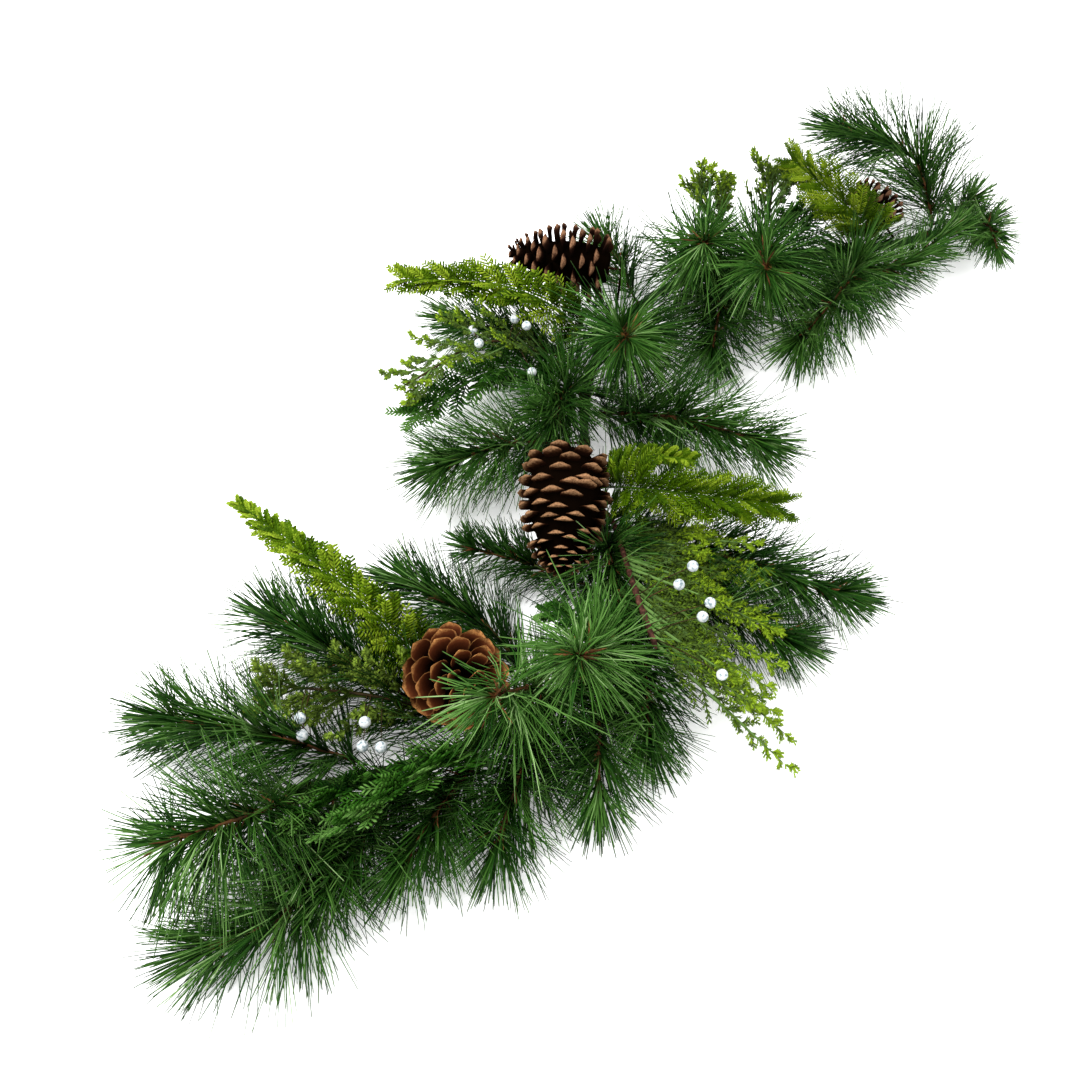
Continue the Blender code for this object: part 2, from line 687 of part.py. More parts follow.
def juniper_pick(name, owner, route, limbs, rods, material):
    """A stem whose faces carry the limbs: (share along, [(kind, face, target), ...])."""
    rng = random.Random(SEED + owner)
    grown = Growth()
    end = grown.corners(ring(route, 0.0, JUNIPER_HALF, 4))
    grown.keep(reversed(end))
    end = grown.loft_kept(end, ring(route, LIFT_OFF / 2, JUNIPER_HALF, 4))
    note_stalks(rods, owner, route, limbs)
    for share, wanted in limbs:
        distance = route.length * share
        end = grown.loft_kept(end, ring(route, distance, JUNIPER_HALF, 4))
        end, sides = grown.loft(end, ring(route, distance + TWIG_BAND, JUNIPER_HALF, 4))
        axis = route.heading(distance)
        for kind, index, target in wanted:
            face = sides[index]
            start = grown.middle(face)
            if kind == "berry":
                stalk_and_berry(grown, face, target, axis)
            else:
                bend = start.lerp(target, 0.5) + axis * (TWIG_BEND * (target - start).length)
                twig(grown, face, [start, bend, target], axis, owner, rods, rng)
        taken = [index for _, index, _ in wanted]
        for index, side in enumerate(sides):
            if index not in taken:
                grown.keep(side)
    distance = route.length - TWIG_BAND
    end = grown.loft_kept(end, ring(route, distance, TWIG_HALF, 4))
    end, sides = grown.loft(end, ring(route, route.length, TWIG_HALF, 4))
    buds(grown, sides, route.point(distance), route.heading(distance), owner, rods, rng)
    grown.spike(end, route.beyond(STEM_POINT))
    return grown.build(name, material)


def cone_half(share, width):
    """A cone's half width along its axis: round at the base, and drawn in towards the tip."""
    if share < CONE_WIDEST:
        return width / 2 * math.sqrt(max(0.0, 1 - ((share - CONE_WIDEST) / CONE_REACHES[0]) ** 2))
    return width / 2 * max(0.0, 1 - ((share - CONE_WIDEST) / CONE_REACHES[1]) ** CONE_TAPER)


def cone_route(vine, at, base, tip):
    """The cone's wire from the vine, then its straight axis."""
    base, tip = Vector(base), Vector(tip)
    axis = (tip - base).normalized()
    start, out, heading = seat(vine, at, base)
    before = base - axis * WIRE_END
    wire = smooth_curve([start + out * LIFT_OFF, before], 4)
    return Route([start, *wire, base, tip], heading), axis


def cone_scale(grown, face, centre, axis, share, width, core, scales):
    """A scale drawn out of the core's side, with a point on its thick outer end."""
    start = grown.middle(face)
    radial = start - centre
    radial = (radial - axis * radial.dot(axis)).normalized()
    rise = blend(SCALE_RISES, share)
    heading = radial * math.cos(rise) + axis * math.sin(rise)
    reach = (cone_half(share, width) - core) / math.cos(rise)
    wide = axis.cross(radial)
    thick = heading.cross(wide) * (SCALE_THICK / 2)
    outer = start + heading * max(reach - UMBO, SCALE_LEAST)
    edge = wide * (SCALE_FILL * math.pi * cone_half(share, width) / scales)
    end = grown.loft_kept(face, (outer - edge - thick, outer + edge - thick,
                                 outer + edge + thick, outer - edge + thick))
    grown.spike(end, outer + heading * UMBO)


def pine_cone(name, owner, vine, at, base, tip, width, rings, scales, rods, material):
    """A wire, an oval core, and rings of scales, each ring half a step round from the last."""
    route, axis = cone_route(vine, at, base, tip)
    length = (Vector(tip) - Vector(base)).length
    first = route.length - length
    grown = Growth()
    end = grown.corners(ring(route, 0.0, WIRE_HALF, scales))
    grown.keep(reversed(end))
    for mark in route.marks[1:-2]:
        end = grown.loft_kept(end, ring(route, mark, WIRE_HALF, scales))
    for row in range(rings):
        share = (row + FIRST_RING) / rings
        distance = first + length * share
        turn = math.pi / scales * row
        core = CORE_SHARE * cone_half(share, width) + CORE_LEAST
        end = grown.loft_kept(end, ring(route, distance, core, scales, turn))
        end, sides = grown.loft(end, ring(route, distance + SCALE_BAND, core, scales, turn))
        centre = route.point(distance + SCALE_BAND / 2)
        for side in sides:
            cone_scale(grown, side, centre, axis, share, width, core, scales)
    grown.spike(end, Vector(tip))
    for step in range(6):
        a, b = step / 6, (step + 1) / 6
        wide = max(cone_half(a, width), cone_half(b, width))
        start = route.point(first + length * a)
        rods.add(owner, start, route.point(first + length * b), wide, wide)
    return grown.build(name, material)


def limb_plan(route, twigs, berries):
    """Share a juniper's twigs and berries out over whorls: (share, [(kind, face, target), ...])."""
    plan = {}
    for share, face in twigs:
        normals = stem_normals(route, share)
        out = normals[face] * math.cos(TWIG_LIFT) + normals[0] * math.sin(TWIG_LIFT)
        heading = route.heading(route.length * share)
        way = heading * math.cos(TWIG_LEAN) + out * math.sin(TWIG_LEAN)
        reach = blend(TWIG_LENGTHS, share)
        plan[share] = [("twig", face, route.point(route.length * share) + way * reach)]
    for berry_place in berries:
        target = Vector(berry_place)
        best = None
        for share, limbs in plan.items():
            taken = [face for _, face, _ in limbs]
            towards = target - route.point(route.length * share)
            for face, normal in enumerate(stem_normals(route, share)):
                score = normal.dot(towards.normalized()) - NEAR_WEIGHT * towards.length
                if face not in taken and (best is None or score > best[0]):
                    best = (score, share, face)
        plan[best[1]].append(("berry", best[2], target))
    return sorted(plan.items())


def fan_plan(route):
    """The long stem's twigs, all on the faces that look towards their tips, and its berries."""
    plan = []
    for (share, twig_tip), berry_place in zip(FAN_TWIGS, (*FAN_BERRIES, None)):
        normals = stem_normals(route, share)
        limbs = []
        for kind, place in (("twig", twig_tip), ("berry", berry_place)):
            if place is None:
                continue
            towards = (Vector(place) - route.point(route.length * share)).normalized()
            taken = [face for _, face, _ in limbs]
            free = [face for face in range(4) if face not in taken]
            face = max(free, key=lambda index: normals[index].dot(towards))
            limbs.append((kind, face, Vector(place)))
        plan.append((share, limbs))
    return plan


def main():
    clear_scene()
    tape = finish("vine_tape", (0.05, 0.10, 0.03), 0.8)
    pine = finish("pine_green", (0.03, 0.14, 0.04), 0.6)
    lime = finish("cedar_lime", (0.25, 0.42, 0.04), 0.6)
    dark = finish("cedar_green", (0.06, 0.22, 0.04), 0.6)
    olive = finish("juniper_green", (0.16, 0.30, 0.06), 0.6)
    brown = finish("cone_brown", (0.16, 0.07, 0.03), 0.7)

    vine = vine_route()
    vine_part(vine, tape)
    rods = Rods()
    core_rods(rods, 0, vine, VINE_HALF, VINE_HALF)

    owners = {}
    routes = {}
    for name, at, via, tip, *_ in (*PINES, *LIME_CEDARS, *DARK_CEDARS, *JUNIPERS):
        owners[name] = len(owners) + 1
        routes[name] = pick_route(vine, at, via, tip)
        core_rods(rods, owners[name], routes[name], *STEM_ROOM)
    fan = pick_route(vine, FAN_AT, FAN_VIA, FAN_TIP)
    owners["juniper_2"] = len(owners) + 1
    core_rods(rods, owners["juniper_2"], fan, *STEM_ROOM)

    for name, at, base, tip, width, rings, scales in CONES:
        owners[name] = len(owners) + 1
        pine_cone(name, owners[name], vine, at, base, tip, width, rings, scales, rods, brown)
    for picks, material in ((LIME_CEDARS, lime), (DARK_CEDARS, dark)):
        for name, _, _, _, widest in picks:
            cedar_pick(name, owners[name], routes[name], widest, rods, material)
    for name, _, _, _, berries in JUNIPERS:
        plan = limb_plan(routes[name], TWIG_PLACES, berries)
        juniper_pick(name, owners[name], routes[name], plan, rods, olive)
    juniper_pick("juniper_2", owners["juniper_2"], fan, fan_plan(fan), rods, olive)
    for name, _, _, _, needle_share in PINES:
        pine_spray(name, owners[name], routes[name], needle_share, rods, pine)


main()
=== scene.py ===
"""Looks for the Christmas garland: needles, cedar fronds, juniper twigs, berries and cones.

Each piece grows on the route that its solid has in the CAD model, so the layout here repeats
the model's own values, in metres. The stems carry shoots, which are drawn in bulk.
"""

import math
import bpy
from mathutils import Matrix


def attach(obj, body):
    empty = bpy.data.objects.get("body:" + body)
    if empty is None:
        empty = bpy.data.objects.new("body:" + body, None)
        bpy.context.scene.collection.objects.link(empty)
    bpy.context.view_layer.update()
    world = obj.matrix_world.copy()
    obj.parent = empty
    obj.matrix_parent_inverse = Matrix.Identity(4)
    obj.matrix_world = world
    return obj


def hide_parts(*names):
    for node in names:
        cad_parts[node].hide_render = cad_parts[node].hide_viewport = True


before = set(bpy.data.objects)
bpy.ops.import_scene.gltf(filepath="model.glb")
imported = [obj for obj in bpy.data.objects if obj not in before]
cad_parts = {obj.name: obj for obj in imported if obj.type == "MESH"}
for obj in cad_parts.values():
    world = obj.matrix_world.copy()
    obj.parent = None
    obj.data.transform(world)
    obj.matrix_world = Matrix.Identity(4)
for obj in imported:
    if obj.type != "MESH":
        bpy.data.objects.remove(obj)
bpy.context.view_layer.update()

from types import SimpleNamespace

import bpy
import numpy as np
from mathutils import Vector

UP = np.array((0.0, 0.0, 1.0))
SEED = 12
GOLDEN_ANGLE = math.pi * (3 - math.sqrt(5))

# Vine and seats, as in the CAD model.
VINE_HALF = 0.0048
VINE_SIDES = 8
VINE_STEP = 0.034
VINE_POINTS = (
    (-0.46, -0.15), (-0.41, -0.18), (-0.34, -0.21), (-0.27, -0.23), (-0.21, -0.24), (-0.15, -0.22),
    (-0.12, -0.16), (-0.08, -0.09), (0.0, 0.0), (0.06, 0.04), (0.16, 0.06), (0.26, 0.04),
    (0.34, -0.01), (0.42, -0.06), (0.52, -0.1),
)
SEAT_GAP = 0.0003
LIFT_OFF = 0.012
STEM_ARCH = 0.012
FLOOR = 0.0006
# The tape round the vine: its least half width, as a share, and its ridges.
TAPE_LEAST = 0.9
TAPE_RIDGE = 0.08
TAPE_EVERY = 0.007
# The end of each pick's wire, wound round the vine.
WINDING_TURNS = 2.6
WINDING_PITCH = 0.0028
WINDING_HALF = 0.0009
# How much of a stem's width is left at its end, and how often its ridge turns.
STEM_END = 0.7
TWIST_EVERY = 0.005

# Pine sprays.
PINE_BARE = 0.01
PINE_HALF = 0.0016
PINE_RIDGE = 0.25
NEEDLE_LENGTH = 0.082
NEEDLE_HALF = 0.00062
NEEDLE_FLAT = 0.6
# Needles stand in bundles that share a way, with a little spread inside each.
BUNDLE = 4
BUNDLE_SPREAD = 0.1
# How much the shade varies between bundles, and inside one.
TONES_VARY = (0.19, 0.1)
# Some bundles stand at the stem's tip as a shorter tuft, at many leans.
TUFT_SHARE = 0.09
TUFT_LENGTH = 0.64
TUFT_LEANS = (0.1, 1.3)
TIP_SHORTER = 0.3
# Past this share of the stem the needles' brown roots are longer.
TIP_FROM = 0.88
ROOT_BROWN = 0.03
# Needles droop in step with their height, between limits.
DROOP_HEIGHT = 0.06
DROOP_LIMITS = (0.3, 1.5)
NEEDLE_BENDS = (-0.08, 0.14)
# How much of a spray's sweep each needle takes, and how much more on the sweep's side.
SWEEP_SHARES = (0.4, 0.6)
SWEEP_BEND = 0.3
HUSKS_PER_METRE = 150
HUSK_LENGTHS = (0.01, 0.024)
HUSK_HALVES = (0.0006, 0.0012, 0.0008)
# A spray that lies down, and a star that is seen end on: bundles a metre, leans at the stem's start
# and tip, lengths as shares of the longest, how much painted shade darkens the deepest needles, and so on.
LYING = SimpleNamespace(
    bundles=1500, leans=(math.radians(64), math.radians(42)), leans_vary=0.24, lengths=(0.72, 0.99),
    painted_depth_shade=0.0, droop=0.1, bends_vary=0.08, tip_brown=0.08, husk_lean=0.9, tip_husks=0,
    stops=(0.0, 0.5, 0.98, 1.0),
)
STAR = SimpleNamespace(
    bundles=1300, leans=(math.radians(76), math.radians(58)), leans_vary=0.48, lengths=(0.6, 1.0),
    painted_depth_shade=0.35, droop=0.26, bends_vary=0.17, tip_brown=0.13, husk_lean=1.4, tip_husks=14,
    stops=(0.0, 0.36, 0.7, 0.98, 1.0),
)

# Cedar picks.
CEDAR_HALF = 0.0012
CEDAR_BARE_SHARE = 0.16
BRANCHLET_HALF = 0.0007
LEAFLET_LENGTH = 0.034
LEAFLET_LEAN = math.radians(56)
LEAFLET_ROLLS = (-0.25, 0.95)
FINGER_LEAN = math.radians(48)
FINGER_FLAT = 0.6
# Spacing of the branchlets, pairs of fingers on each, their length as a share of it, and half width.
FINE_LEAVES = (0.0012, 12, 0.26, 0.0007)
OPEN_LEAVES = (0.0018, 8, 0.34, 0.0012)
BROAD_LEAVES = (0.0025, 7, 0.4, 0.0013)
FINE_CEDARS = ("cedar_lime_3", "cedar_lime_4", "cedar_lime_5")
# How much shorter the last leaflets are, on a pointed cedar and on the others.
POINTED_CEDARS = ("cedar_lime_1",)
LEAFLET_TAPERS = (0.74, 0.45)
LEAFLETS_VARY = (0.82, 1.05)
LEAFLET_BEND = 0.12
# Turns about a shoot to its two sides.
BOTH_SIDES = (0.0, np.pi)

# Juniper picks.
SHADY_JUNIPERS = ("juniper_1",)
JUNIPER_HALF = 0.0015
TWIG_LENGTHS = (0.085, 0.035)
TWIG_LEANS = (math.radians(12), math.radians(44))
TWIG_LIFTS = (-0.1, 0.8)
LOBE_LEAN = math.radians(36)
LOBE_HALF = 0.0009
BERRY_RADIUS = 0.0046
BERRY_ROWS = 9
BERRY_SIDES = 14
STALK_HALF = 0.0005
STALK_ARCH = 0.003
# Pairs of twigs on a stem: from, to and how many.
TWIG_PAIRS = (0.22, 0.85, 7)
TWIG_HALF = 0.0011
# Rows of lobes on a twig and its side sprigs, and of sprigs on a twig: from, to, how many, length.
TWIG_LOBES = (0.5, 0.98, 9, 0.0085)
SPRIG_LOBES = (0.15, 0.95, 6, 0.0075)
SPRIGS = (0.25, 0.92, 7, 0.019)
LOBES_VARY = (0.7, 1.15)
SPRIG_LEAN = math.radians(34)
SPRIGS_VARY = (0.5, 1.15)
SPRIG_HALVES = (0.0007, 0.0006)

# Cones.
CONE_WIDEST = 0.32
CONE_REACHES = (0.42, 0.74)
CONE_TAPER = 1.9
WIRE_END = 0.014
# How high a scale's upper face stands, as a share of its peaked lower one.
LENS_UPPER = 0.35
# The scales' roots run between these shares of the axis.
SCALE_SPAN = (0.07, 0.96)
# How far out the scales' roots are, and a scale's least length and half width.
ROOT_SHARE = 0.22
SCALE_SHORTEST = 0.008
SCALE_NARROWEST = 0.0035
SCALE_BEND = 0.12
STEEPEST = math.radians(62)
SCALE_SIDES = 14
CONE_WIRE_HALF = 0.0016
# A scale's sections: share of its length, half width, and thickness as a share of the width.
WOODY_SCALE = (
    (0.0, 0.5, 0.16), (0.35, 0.8, 0.1), (0.66, 0.99, 0.1), (0.82, 1.06, 0.16), (0.9, 1.02, 0.34),
    (0.955, 0.86, 0.44), (0.99, 0.58, 0.5), (1.015, 0.28, 0.6), (1.04, 0.1, 0.8), (1.055, 0.0, 0.0),
)
SPOON_SCALE = (
    (0.0, 0.4, 0.16), (0.35, 0.74, 0.08), (0.6, 1.0, 0.06), (0.76, 1.12, 0.05), (0.88, 1.06, 0.06),
    (0.95, 0.86, 0.08), (0.99, 0.6, 0.1), (1.02, 0.3, 0.14), (1.04, 0.0, 0.0),
)
FINGER_SCALE = (
    (0.0, 0.86, 0.34), (0.45, 0.92, 0.34), (0.72, 0.96, 0.36), (0.84, 1.02, 0.42), (0.91, 1.0, 0.52),
    (0.965, 0.8, 0.56), (1.0, 0.46, 0.56), (1.03, 0.2, 0.6), (1.05, 0.0, 0.0),
)
# Each cone's scales: number, sections, share of an even spacing, rise in degrees at the base and the
# tip, the core as a share of the cone, and how far the edges stand up.
CONE_FORMS = {
    "cone_middle": (114, WOODY_SCALE, 0.76, (-24, 52), 0.74, 0.0),
    "cone_left": (58, SPOON_SCALE, 0.58, (0, 64), 0.25, 0.38),
    "cone_top": (92, FINGER_SCALE, 0.66, (-16, 46), 0.52, 0.0),
    "cone_right": (58, FINGER_SCALE, 0.66, (-16, 50), 0.36, 0.0),
}

# Pine sprays: place along the vine, points that the stem passes, its tip, its needles' length as
# a share of the usual one, and how fresh its green is.
PINES = (
    ("pine_01", 0.055, (), (-0.495, -0.063, 0.045), 1.0, 0.3),
    ("pine_02", 0.14, (), (-0.385, -0.045, 0.045), 1.0, 0.22),
    ("pine_03", 0.22, ((-0.255, -0.16, 0.03), (-0.27, -0.12, 0.045)), (-0.283, -0.085, 0.05), 0.82, 0.25),
    ("pine_04", 0.02, ((-0.52, -0.17, 0.075),), (-0.547, -0.156, 0.068), 0.95, 0.42),
    ("pine_05", 0.035, ((-0.507, -0.237, 0.035),), (-0.564, -0.223, 0.03), 1.0, 0.35),
    ("pine_06", 0.09, (), (-0.48, -0.242, 0.03), 0.87, 0.25),
    ("pine_07", 0.15, (), (-0.425, -0.265, 0.035), 0.93, 0.32),
    ("pine_08", 0.2, (), (-0.368, -0.298, 0.03), 0.93, 0.35),
    ("pine_09", 0.26, (), (-0.288, -0.322, 0.045), 0.87, 0.28),
    ("pine_10", 0.28, (), (-0.252, -0.258, 0.12), 0.95, 0.58),
    ("pine_11", 0.23, (), (-0.319, -0.241, 0.118), 0.95, 0.62),
    ("pine_12", 0.32, (), (-0.228, -0.315, 0.035), 0.87, 0.35),
    ("pine_13", 0.42, (), (-0.023, -0.329, 0.05), 0.87, 0.24),
    ("pine_14", 0.36, (), (-0.077, -0.325, 0.03), 0.86, 0.3),
    ("pine_15", 0.37, ((-0.178, -0.129, 0.018),), (-0.215, -0.086, 0.035), 0.55, 0.3),
    ("pine_16", 0.54, (), (-0.181, -0.009, 0.055), 1.0, 0.42),
    ("pine_17", 0.58, (), (0.04, -0.18, 0.065), 1.0, 0.36),
    ("pine_18", 0.68, (), (0.01, -0.04, 0.11), 1.0, 0.44),
    ("pine_19", 0.64, (), (-0.045, 0.132, 0.04), 1.0, 0.4),
    ("pine_20", 0.75, (), (0.135, 0.118, 0.05), 0.9, 0.4),
    ("pine_21", 0.82, (), (0.16, 0.004, 0.11), 1.0, 0.5),
    ("pine_22", 0.9, (), (0.176, -0.062, 0.11), 1.0, 0.42),
    ("pine_23", 1.02, ((0.29, -0.09, 0.045),), (0.19, -0.113, 0.05), 1.0, 0.36),
    ("pine_24", 0.86, (), (0.128, -0.052, 0.03), 1.0, 0.28),
    ("pine_25", 1.115, ((0.462, -0.056, 0.06), (0.467, -0.019, 0.082)), (0.437, 0.044, 0.09), 1.12, 0.35),
    ("pine_26", 1.0, ((0.36, -0.098, 0.028),), (0.435, -0.115, 0.05), 0.65, 0.4),
    ("pine_27", 1.145, (), (0.49, -0.105, 0.055), 0.5, 0.35),
    ("pine_28", 1.165, (), (0.46, -0.16, 0.04), 0.5, 0.4),
    ("pine_29", 0.6, (), (-0.078, -0.038, 0.065), 0.9, 0.32),
    ("pine_30", 0.43, (), (-0.165, -0.215, 0.05), 0.9, 0.35),
)
STARS = ("pine_10", "pine_11", "pine_18", "pine_21", "pine_22")
# How far some sprays' needles sweep along X and Y.
SWEEPS = {
    "pine_03": (-0.1, 0.25), "pine_15": (0.22, 0.3),
    "pine_04": (-0.16, -0.85), "pine_05": (-0.26, 0.12), "pine_10": (0.06, -0.08), "pine_11": (-0.2, -0.12),
    "pine_18": (0.2, -0.45), "pine_21": (-0.24, -0.1), "pine_22": (0.05, -0.4),
}
# Needles between these headings, seen from above in degrees, are left out. They would hide the
# open cone, or the gaps between sprays.
PARTINGS = {"pine_11": (45, 122), "pine_03": (-60, 40), "pine_15": (-150, -80), "pine_24": (-60, 10)}

# Cedars: as above, with the widest leaflet as a share of the usual one, and how fresh it is.
LIME_CEDARS = (
    ("cedar_lime_1", 0.175, ((-0.315, -0.15, 0.028), (-0.33, -0.113, 0.075), (-0.343, -0.056, 0.1)),
     (-0.356, 0.052, 0.09), 1.05, 0.12),
    ("cedar_lime_2", 0.665, ((0.009, 0.056, 0.08), (-0.024, 0.109, 0.095)),
     (-0.084, 0.179, 0.09), 1.15, 0.1),
    ("cedar_lime_3", 0.475, ((-0.09, -0.16, 0.085),), (-0.02, -0.25, 0.09), 1.25, -0.04),
    ("cedar_lime_4", 0.495, (), (-0.039, -0.174, 0.095), 0.6, 0.0),
    ("cedar_lime_5", 1.03, ((0.341, -0.062, 0.075), (0.326, -0.025, 0.1)),
     (0.334, 0.038, 0.104), 1.35, 0.13),
)
DARK_CEDARS = (
    ("cedar_dark_1", 0.17, (), (-0.45, -0.235, 0.085), 1.5, 0.06),
    ("cedar_dark_2", 0.075, (), (-0.475, -0.2, 0.06), 1.0, -0.1),
    ("cedar_dark_3", 0.59, ((-0.058, 0.058, 0.04),), (-0.161, 0.072, 0.038), 1.2, -0.1),
    ("cedar_dark_4", 0.31, (), (-0.218, -0.183, 0.05), 0.7, -0.05),
    ("cedar_dark_5", 0.95, (), (0.321, -0.001, 0.066), 1.25, -0.15),
)
# Junipers: as above with how fresh each is, and then the places of its berries.
JUNIPERS = (
    ("juniper_1", 0.16, (), (-0.43, -0.09, 0.06), -0.1,
     ((-0.425, -0.136, 0.065), (-0.431, -0.146, 0.06), (-0.392, -0.176, 0.075), (-0.403, -0.186, 0.065),
      (-0.394, -0.198, 0.07))),
    ("juniper_3", 0.625, ((-0.06, 0.07, 0.07),), (-0.16, 0.083, 0.067), -0.08,
     ((-0.07, 0.088, 0.078), (-0.083, 0.062, 0.088), (-0.031, 0.071, 0.08), (-0.034, 0.05, 0.088),
      (-0.059, 0.014, 0.07))),
    ("juniper_4", 0.92, (), (0.322, 0.05, 0.085), -0.2, ()),
    ("juniper_5", 0.87, (), (0.252, 0.092, 0.078), -0.06, ()),
)
# Cones: place along the vine, the base and the tip of the axis, and the width.
CONES = (
    ("cone_middle", 0.49, (-0.11, -0.09, 0.08), (-0.182, -0.163, 0.055), 0.084),
    ("cone_left", 0.19, (-0.315, -0.163, 0.055), (-0.322, -0.222, 0.102), 0.08),
    ("cone_top", 0.7, (0.088, 0.064, 0.08), (0.028, 0.145, 0.08), 0.079),
    ("cone_right", 1.04, (0.385, -0.065, 0.05), (0.38, -0.02, 0.08), 0.058),
)
# The fan, juniper_2: its seed, its stem, and its twigs' outline at shares of the stem.
FAN_SEED = 57
FAN_AT = 0.455
FAN_VIA = ((-0.1, -0.14, 0.03), (-0.125, -0.175, 0.055), (-0.16, -0.225, 0.08))
FAN_TIP = (-0.19, -0.28, 0.085)
FAN_OUTLINE = (
    (0.34, (-0.055, -0.265, 0.07)),
    (0.46, (-0.07, -0.3, 0.06)),
    (0.58, (-0.09, -0.32, 0.06)),
    (0.7, (-0.115, -0.345, 0.055)),
    (0.82, (-0.14, -0.36, 0.05)),
    (0.94, (-0.148, -0.406, 0.035)),
)
# How far a short and a long twig reach towards the outline, how many such pairs there are, and
# how far past its ends they start.
FAN_REACHES = (0.66, 1.0)
FAN_PAIRS = 11
FAN_PAST = (-0.05, 0.03)
FAN_STRAYS = 0.006
FAN_TWIG_HALF = 0.0019
FAN_SPRIGS = (0.12, 0.93, 16, 0.03)
FAN_FRESH = 0.06
FAN_HALF = 0.0022
KNOB_RISE = 0.35
KNOB_EVERY = 0.011
FAN_BERRIES = (
    (-0.14, -0.254, 0.095), (-0.125, -0.253, 0.105), (-0.134, -0.282, 0.095), (-0.145, -0.285, 0.09),
    (-0.166, -0.327, 0.08),
)

# How strongly the surfaces shine, on the shader's own scale.
SHINE = 0.05
# Most of a noise lies between these values.
NOISE_SPAN = (0.3, 0.7)

# Colours by tone for the leaves, and by noise for the rest.
LIME_LEAF = (
    (0.1, (0.006, 0.02, 0.0)), (0.4, (0.024, 0.06, 0.0)), (0.7, (0.062, 0.122, 0.001)),
    (1.0, (0.205, 0.29, 0.016)),
)
DARK_LEAF = (
    (0.1, (0.003, 0.022, 0.001)), (0.4, (0.014, 0.066, 0.003)), (0.7, (0.042, 0.122, 0.014)),
    (1.0, (0.1, 0.21, 0.046)),
)
OLIVE_LEAF = (
    (0.0, (0.11, 0.2, 0.05)), (0.16, (0.066, 0.12, 0.026)), (0.26, (0.032, 0.056, 0.008)),
    (0.58, (0.066, 0.112, 0.016)), (0.8, (0.098, 0.176, 0.008)), (1.0, (0.205, 0.315, 0.014)),
)
SHADY_LEAF = (
    (0.1, (0.014, 0.026, 0.003)), (0.45, (0.04, 0.068, 0.007)), (0.75, (0.085, 0.135, 0.016)),
    (1.0, (0.19, 0.28, 0.03)),
)
BERRY_STOPS = (
    (0.36, (0.16, 0.21, 0.23)), (0.47, (0.42, 0.47, 0.49)), (0.58, (0.62, 0.64, 0.64)),
    (1.0, (0.72, 0.72, 0.71)),
)
BARK_STOPS = ((0.3, (0.016, 0.007, 0.005)), (0.5, (0.045, 0.018, 0.012)), (0.7, (0.12, 0.05, 0.032)))
TAPE_STOPS = ((0.3, (0.01, 0.03, 0.008)), (0.7, (0.035, 0.075, 0.022)))
# The cones' materials: colours inside, along the rim and at the end. Where the painted shade ends and
# the rim starts, how strong the painted highlight on the edge is and how rough the grain, may follow.
CONE_LOOKS = {
    "cone_middle": ("cone_tan", (0.016, 0.006, 0.003), (0.066, 0.026, 0.012), (0.27, 0.145, 0.072)),
    "cone_left": ("cone_red", (0.07, 0.018, 0.007), (0.14, 0.04, 0.014), (0.56, 0.26, 0.085),
                  0.45, 0.8, 0.9, 0.15),
    "cone_top": ("cone_brown", (0.02, 0.008, 0.005), (0.052, 0.022, 0.012), (0.21, 0.108, 0.058),
                 0.55, 0.83),
    "cone_right": ("cone_dark", (0.012, 0.005, 0.003), (0.04, 0.018, 0.01), (0.12, 0.062, 0.036)),
}

# The floor, with a little light of its own that keeps the shadows on it faint, and the lights.
FLOOR_REACH = 6
FLOOR_WHITE = 0.93
FLOOR_GLOW = 0.25
SKY_LIGHT = 1.4
# Lamps: place, width and power.
LAMPS = (
    ("key", (-0.9, 0.7, 1.9), 1.4, 60.0),
    ("fill", (1.2, -1.3, 1.6), 2.2, 20.0),
)
# Camera, read from the photograph's perspective.
CAMERA_PLACE = (-0.5213, -0.5183, 0.8)
CAMERA_LOOK = (0.38081, 0.42892, -0.81915)
CAMERA_LENS = 35.33


def unit(rows):
    """Directions at length one."""
    return rows / np.linalg.norm(rows, axis=-1, keepdims=True)


def square_to(rows, headings):
    """The part of each row at right angles to its heading, at length one."""
    return unit(rows - headings * np.sum(rows * headings, axis=-1, keepdims=True))


def blend(ends, share):
    return ends[0] + (ends[1] - ends[0]) * share


def smooth_curve(points, steps=12):
    """A Catmull-Rom curve through the points, as a dense list."""
    points = [np.array(point, float) for point in points]
    ends = [points[0] * 2 - points[1], *points, points[-1] * 2 - points[-2]]
    dense = []
    for before, start, end, after in zip(ends, ends[1:], ends[2:], ends[3:]):
        for step in range(steps):
            t = step / steps
            dense.append(0.5 * (2 * start + (end - before) * t
                                + (2 * before - 5 * start + 4 * end - after) * t * t
                                + (3 * start - before - 3 * end + after) * t ** 3))
    dense.append(points[-1])
    return dense


def add_object(name, data):
    """A new object in the scene."""
    made = bpy.data.objects.new(name, data)
    bpy.context.scene.collection.objects.link(made)
    return made


class Route:
    """A path that gives points, headings and sideways directions at any distances along it."""

    def __init__(self, points, side):
        self.points = np.array(points, float)
        steps = np.linalg.norm(np.diff(self.points, axis=0), axis=1)
        self.marks = np.concatenate([[0.0], np.cumsum(steps)])
        self.length = self.marks[-1]
        places = np.arange(len(self.points))
        after = np.minimum(places + 1, len(places) - 1)
        before = np.maximum(places - 1, 0)
        self.headings = unit(self.points[after] - self.points[before])
        self.sides = np.zeros_like(self.headings)
        for index, heading in enumerate(self.headings):
            side = square_to(side, heading)
            self.sides[index] = side

    def read(self, rows, distances):
        columns = [np.interp(distances, self.marks, rows[:, k]) for k in range(3)]
        return np.stack(columns, axis=-1)

    def point(self, distances):
        return self.read(self.points, distances)

    def frame(self, distances):
        """Points, headings, sideways and third directions, all at right angles."""
        headings = unit(self.read(self.headings, distances))
        sides = square_to(self.read(self.sides, distances), headings)
        return self.point(distances), headings, sides, np.cross(headings, sides)


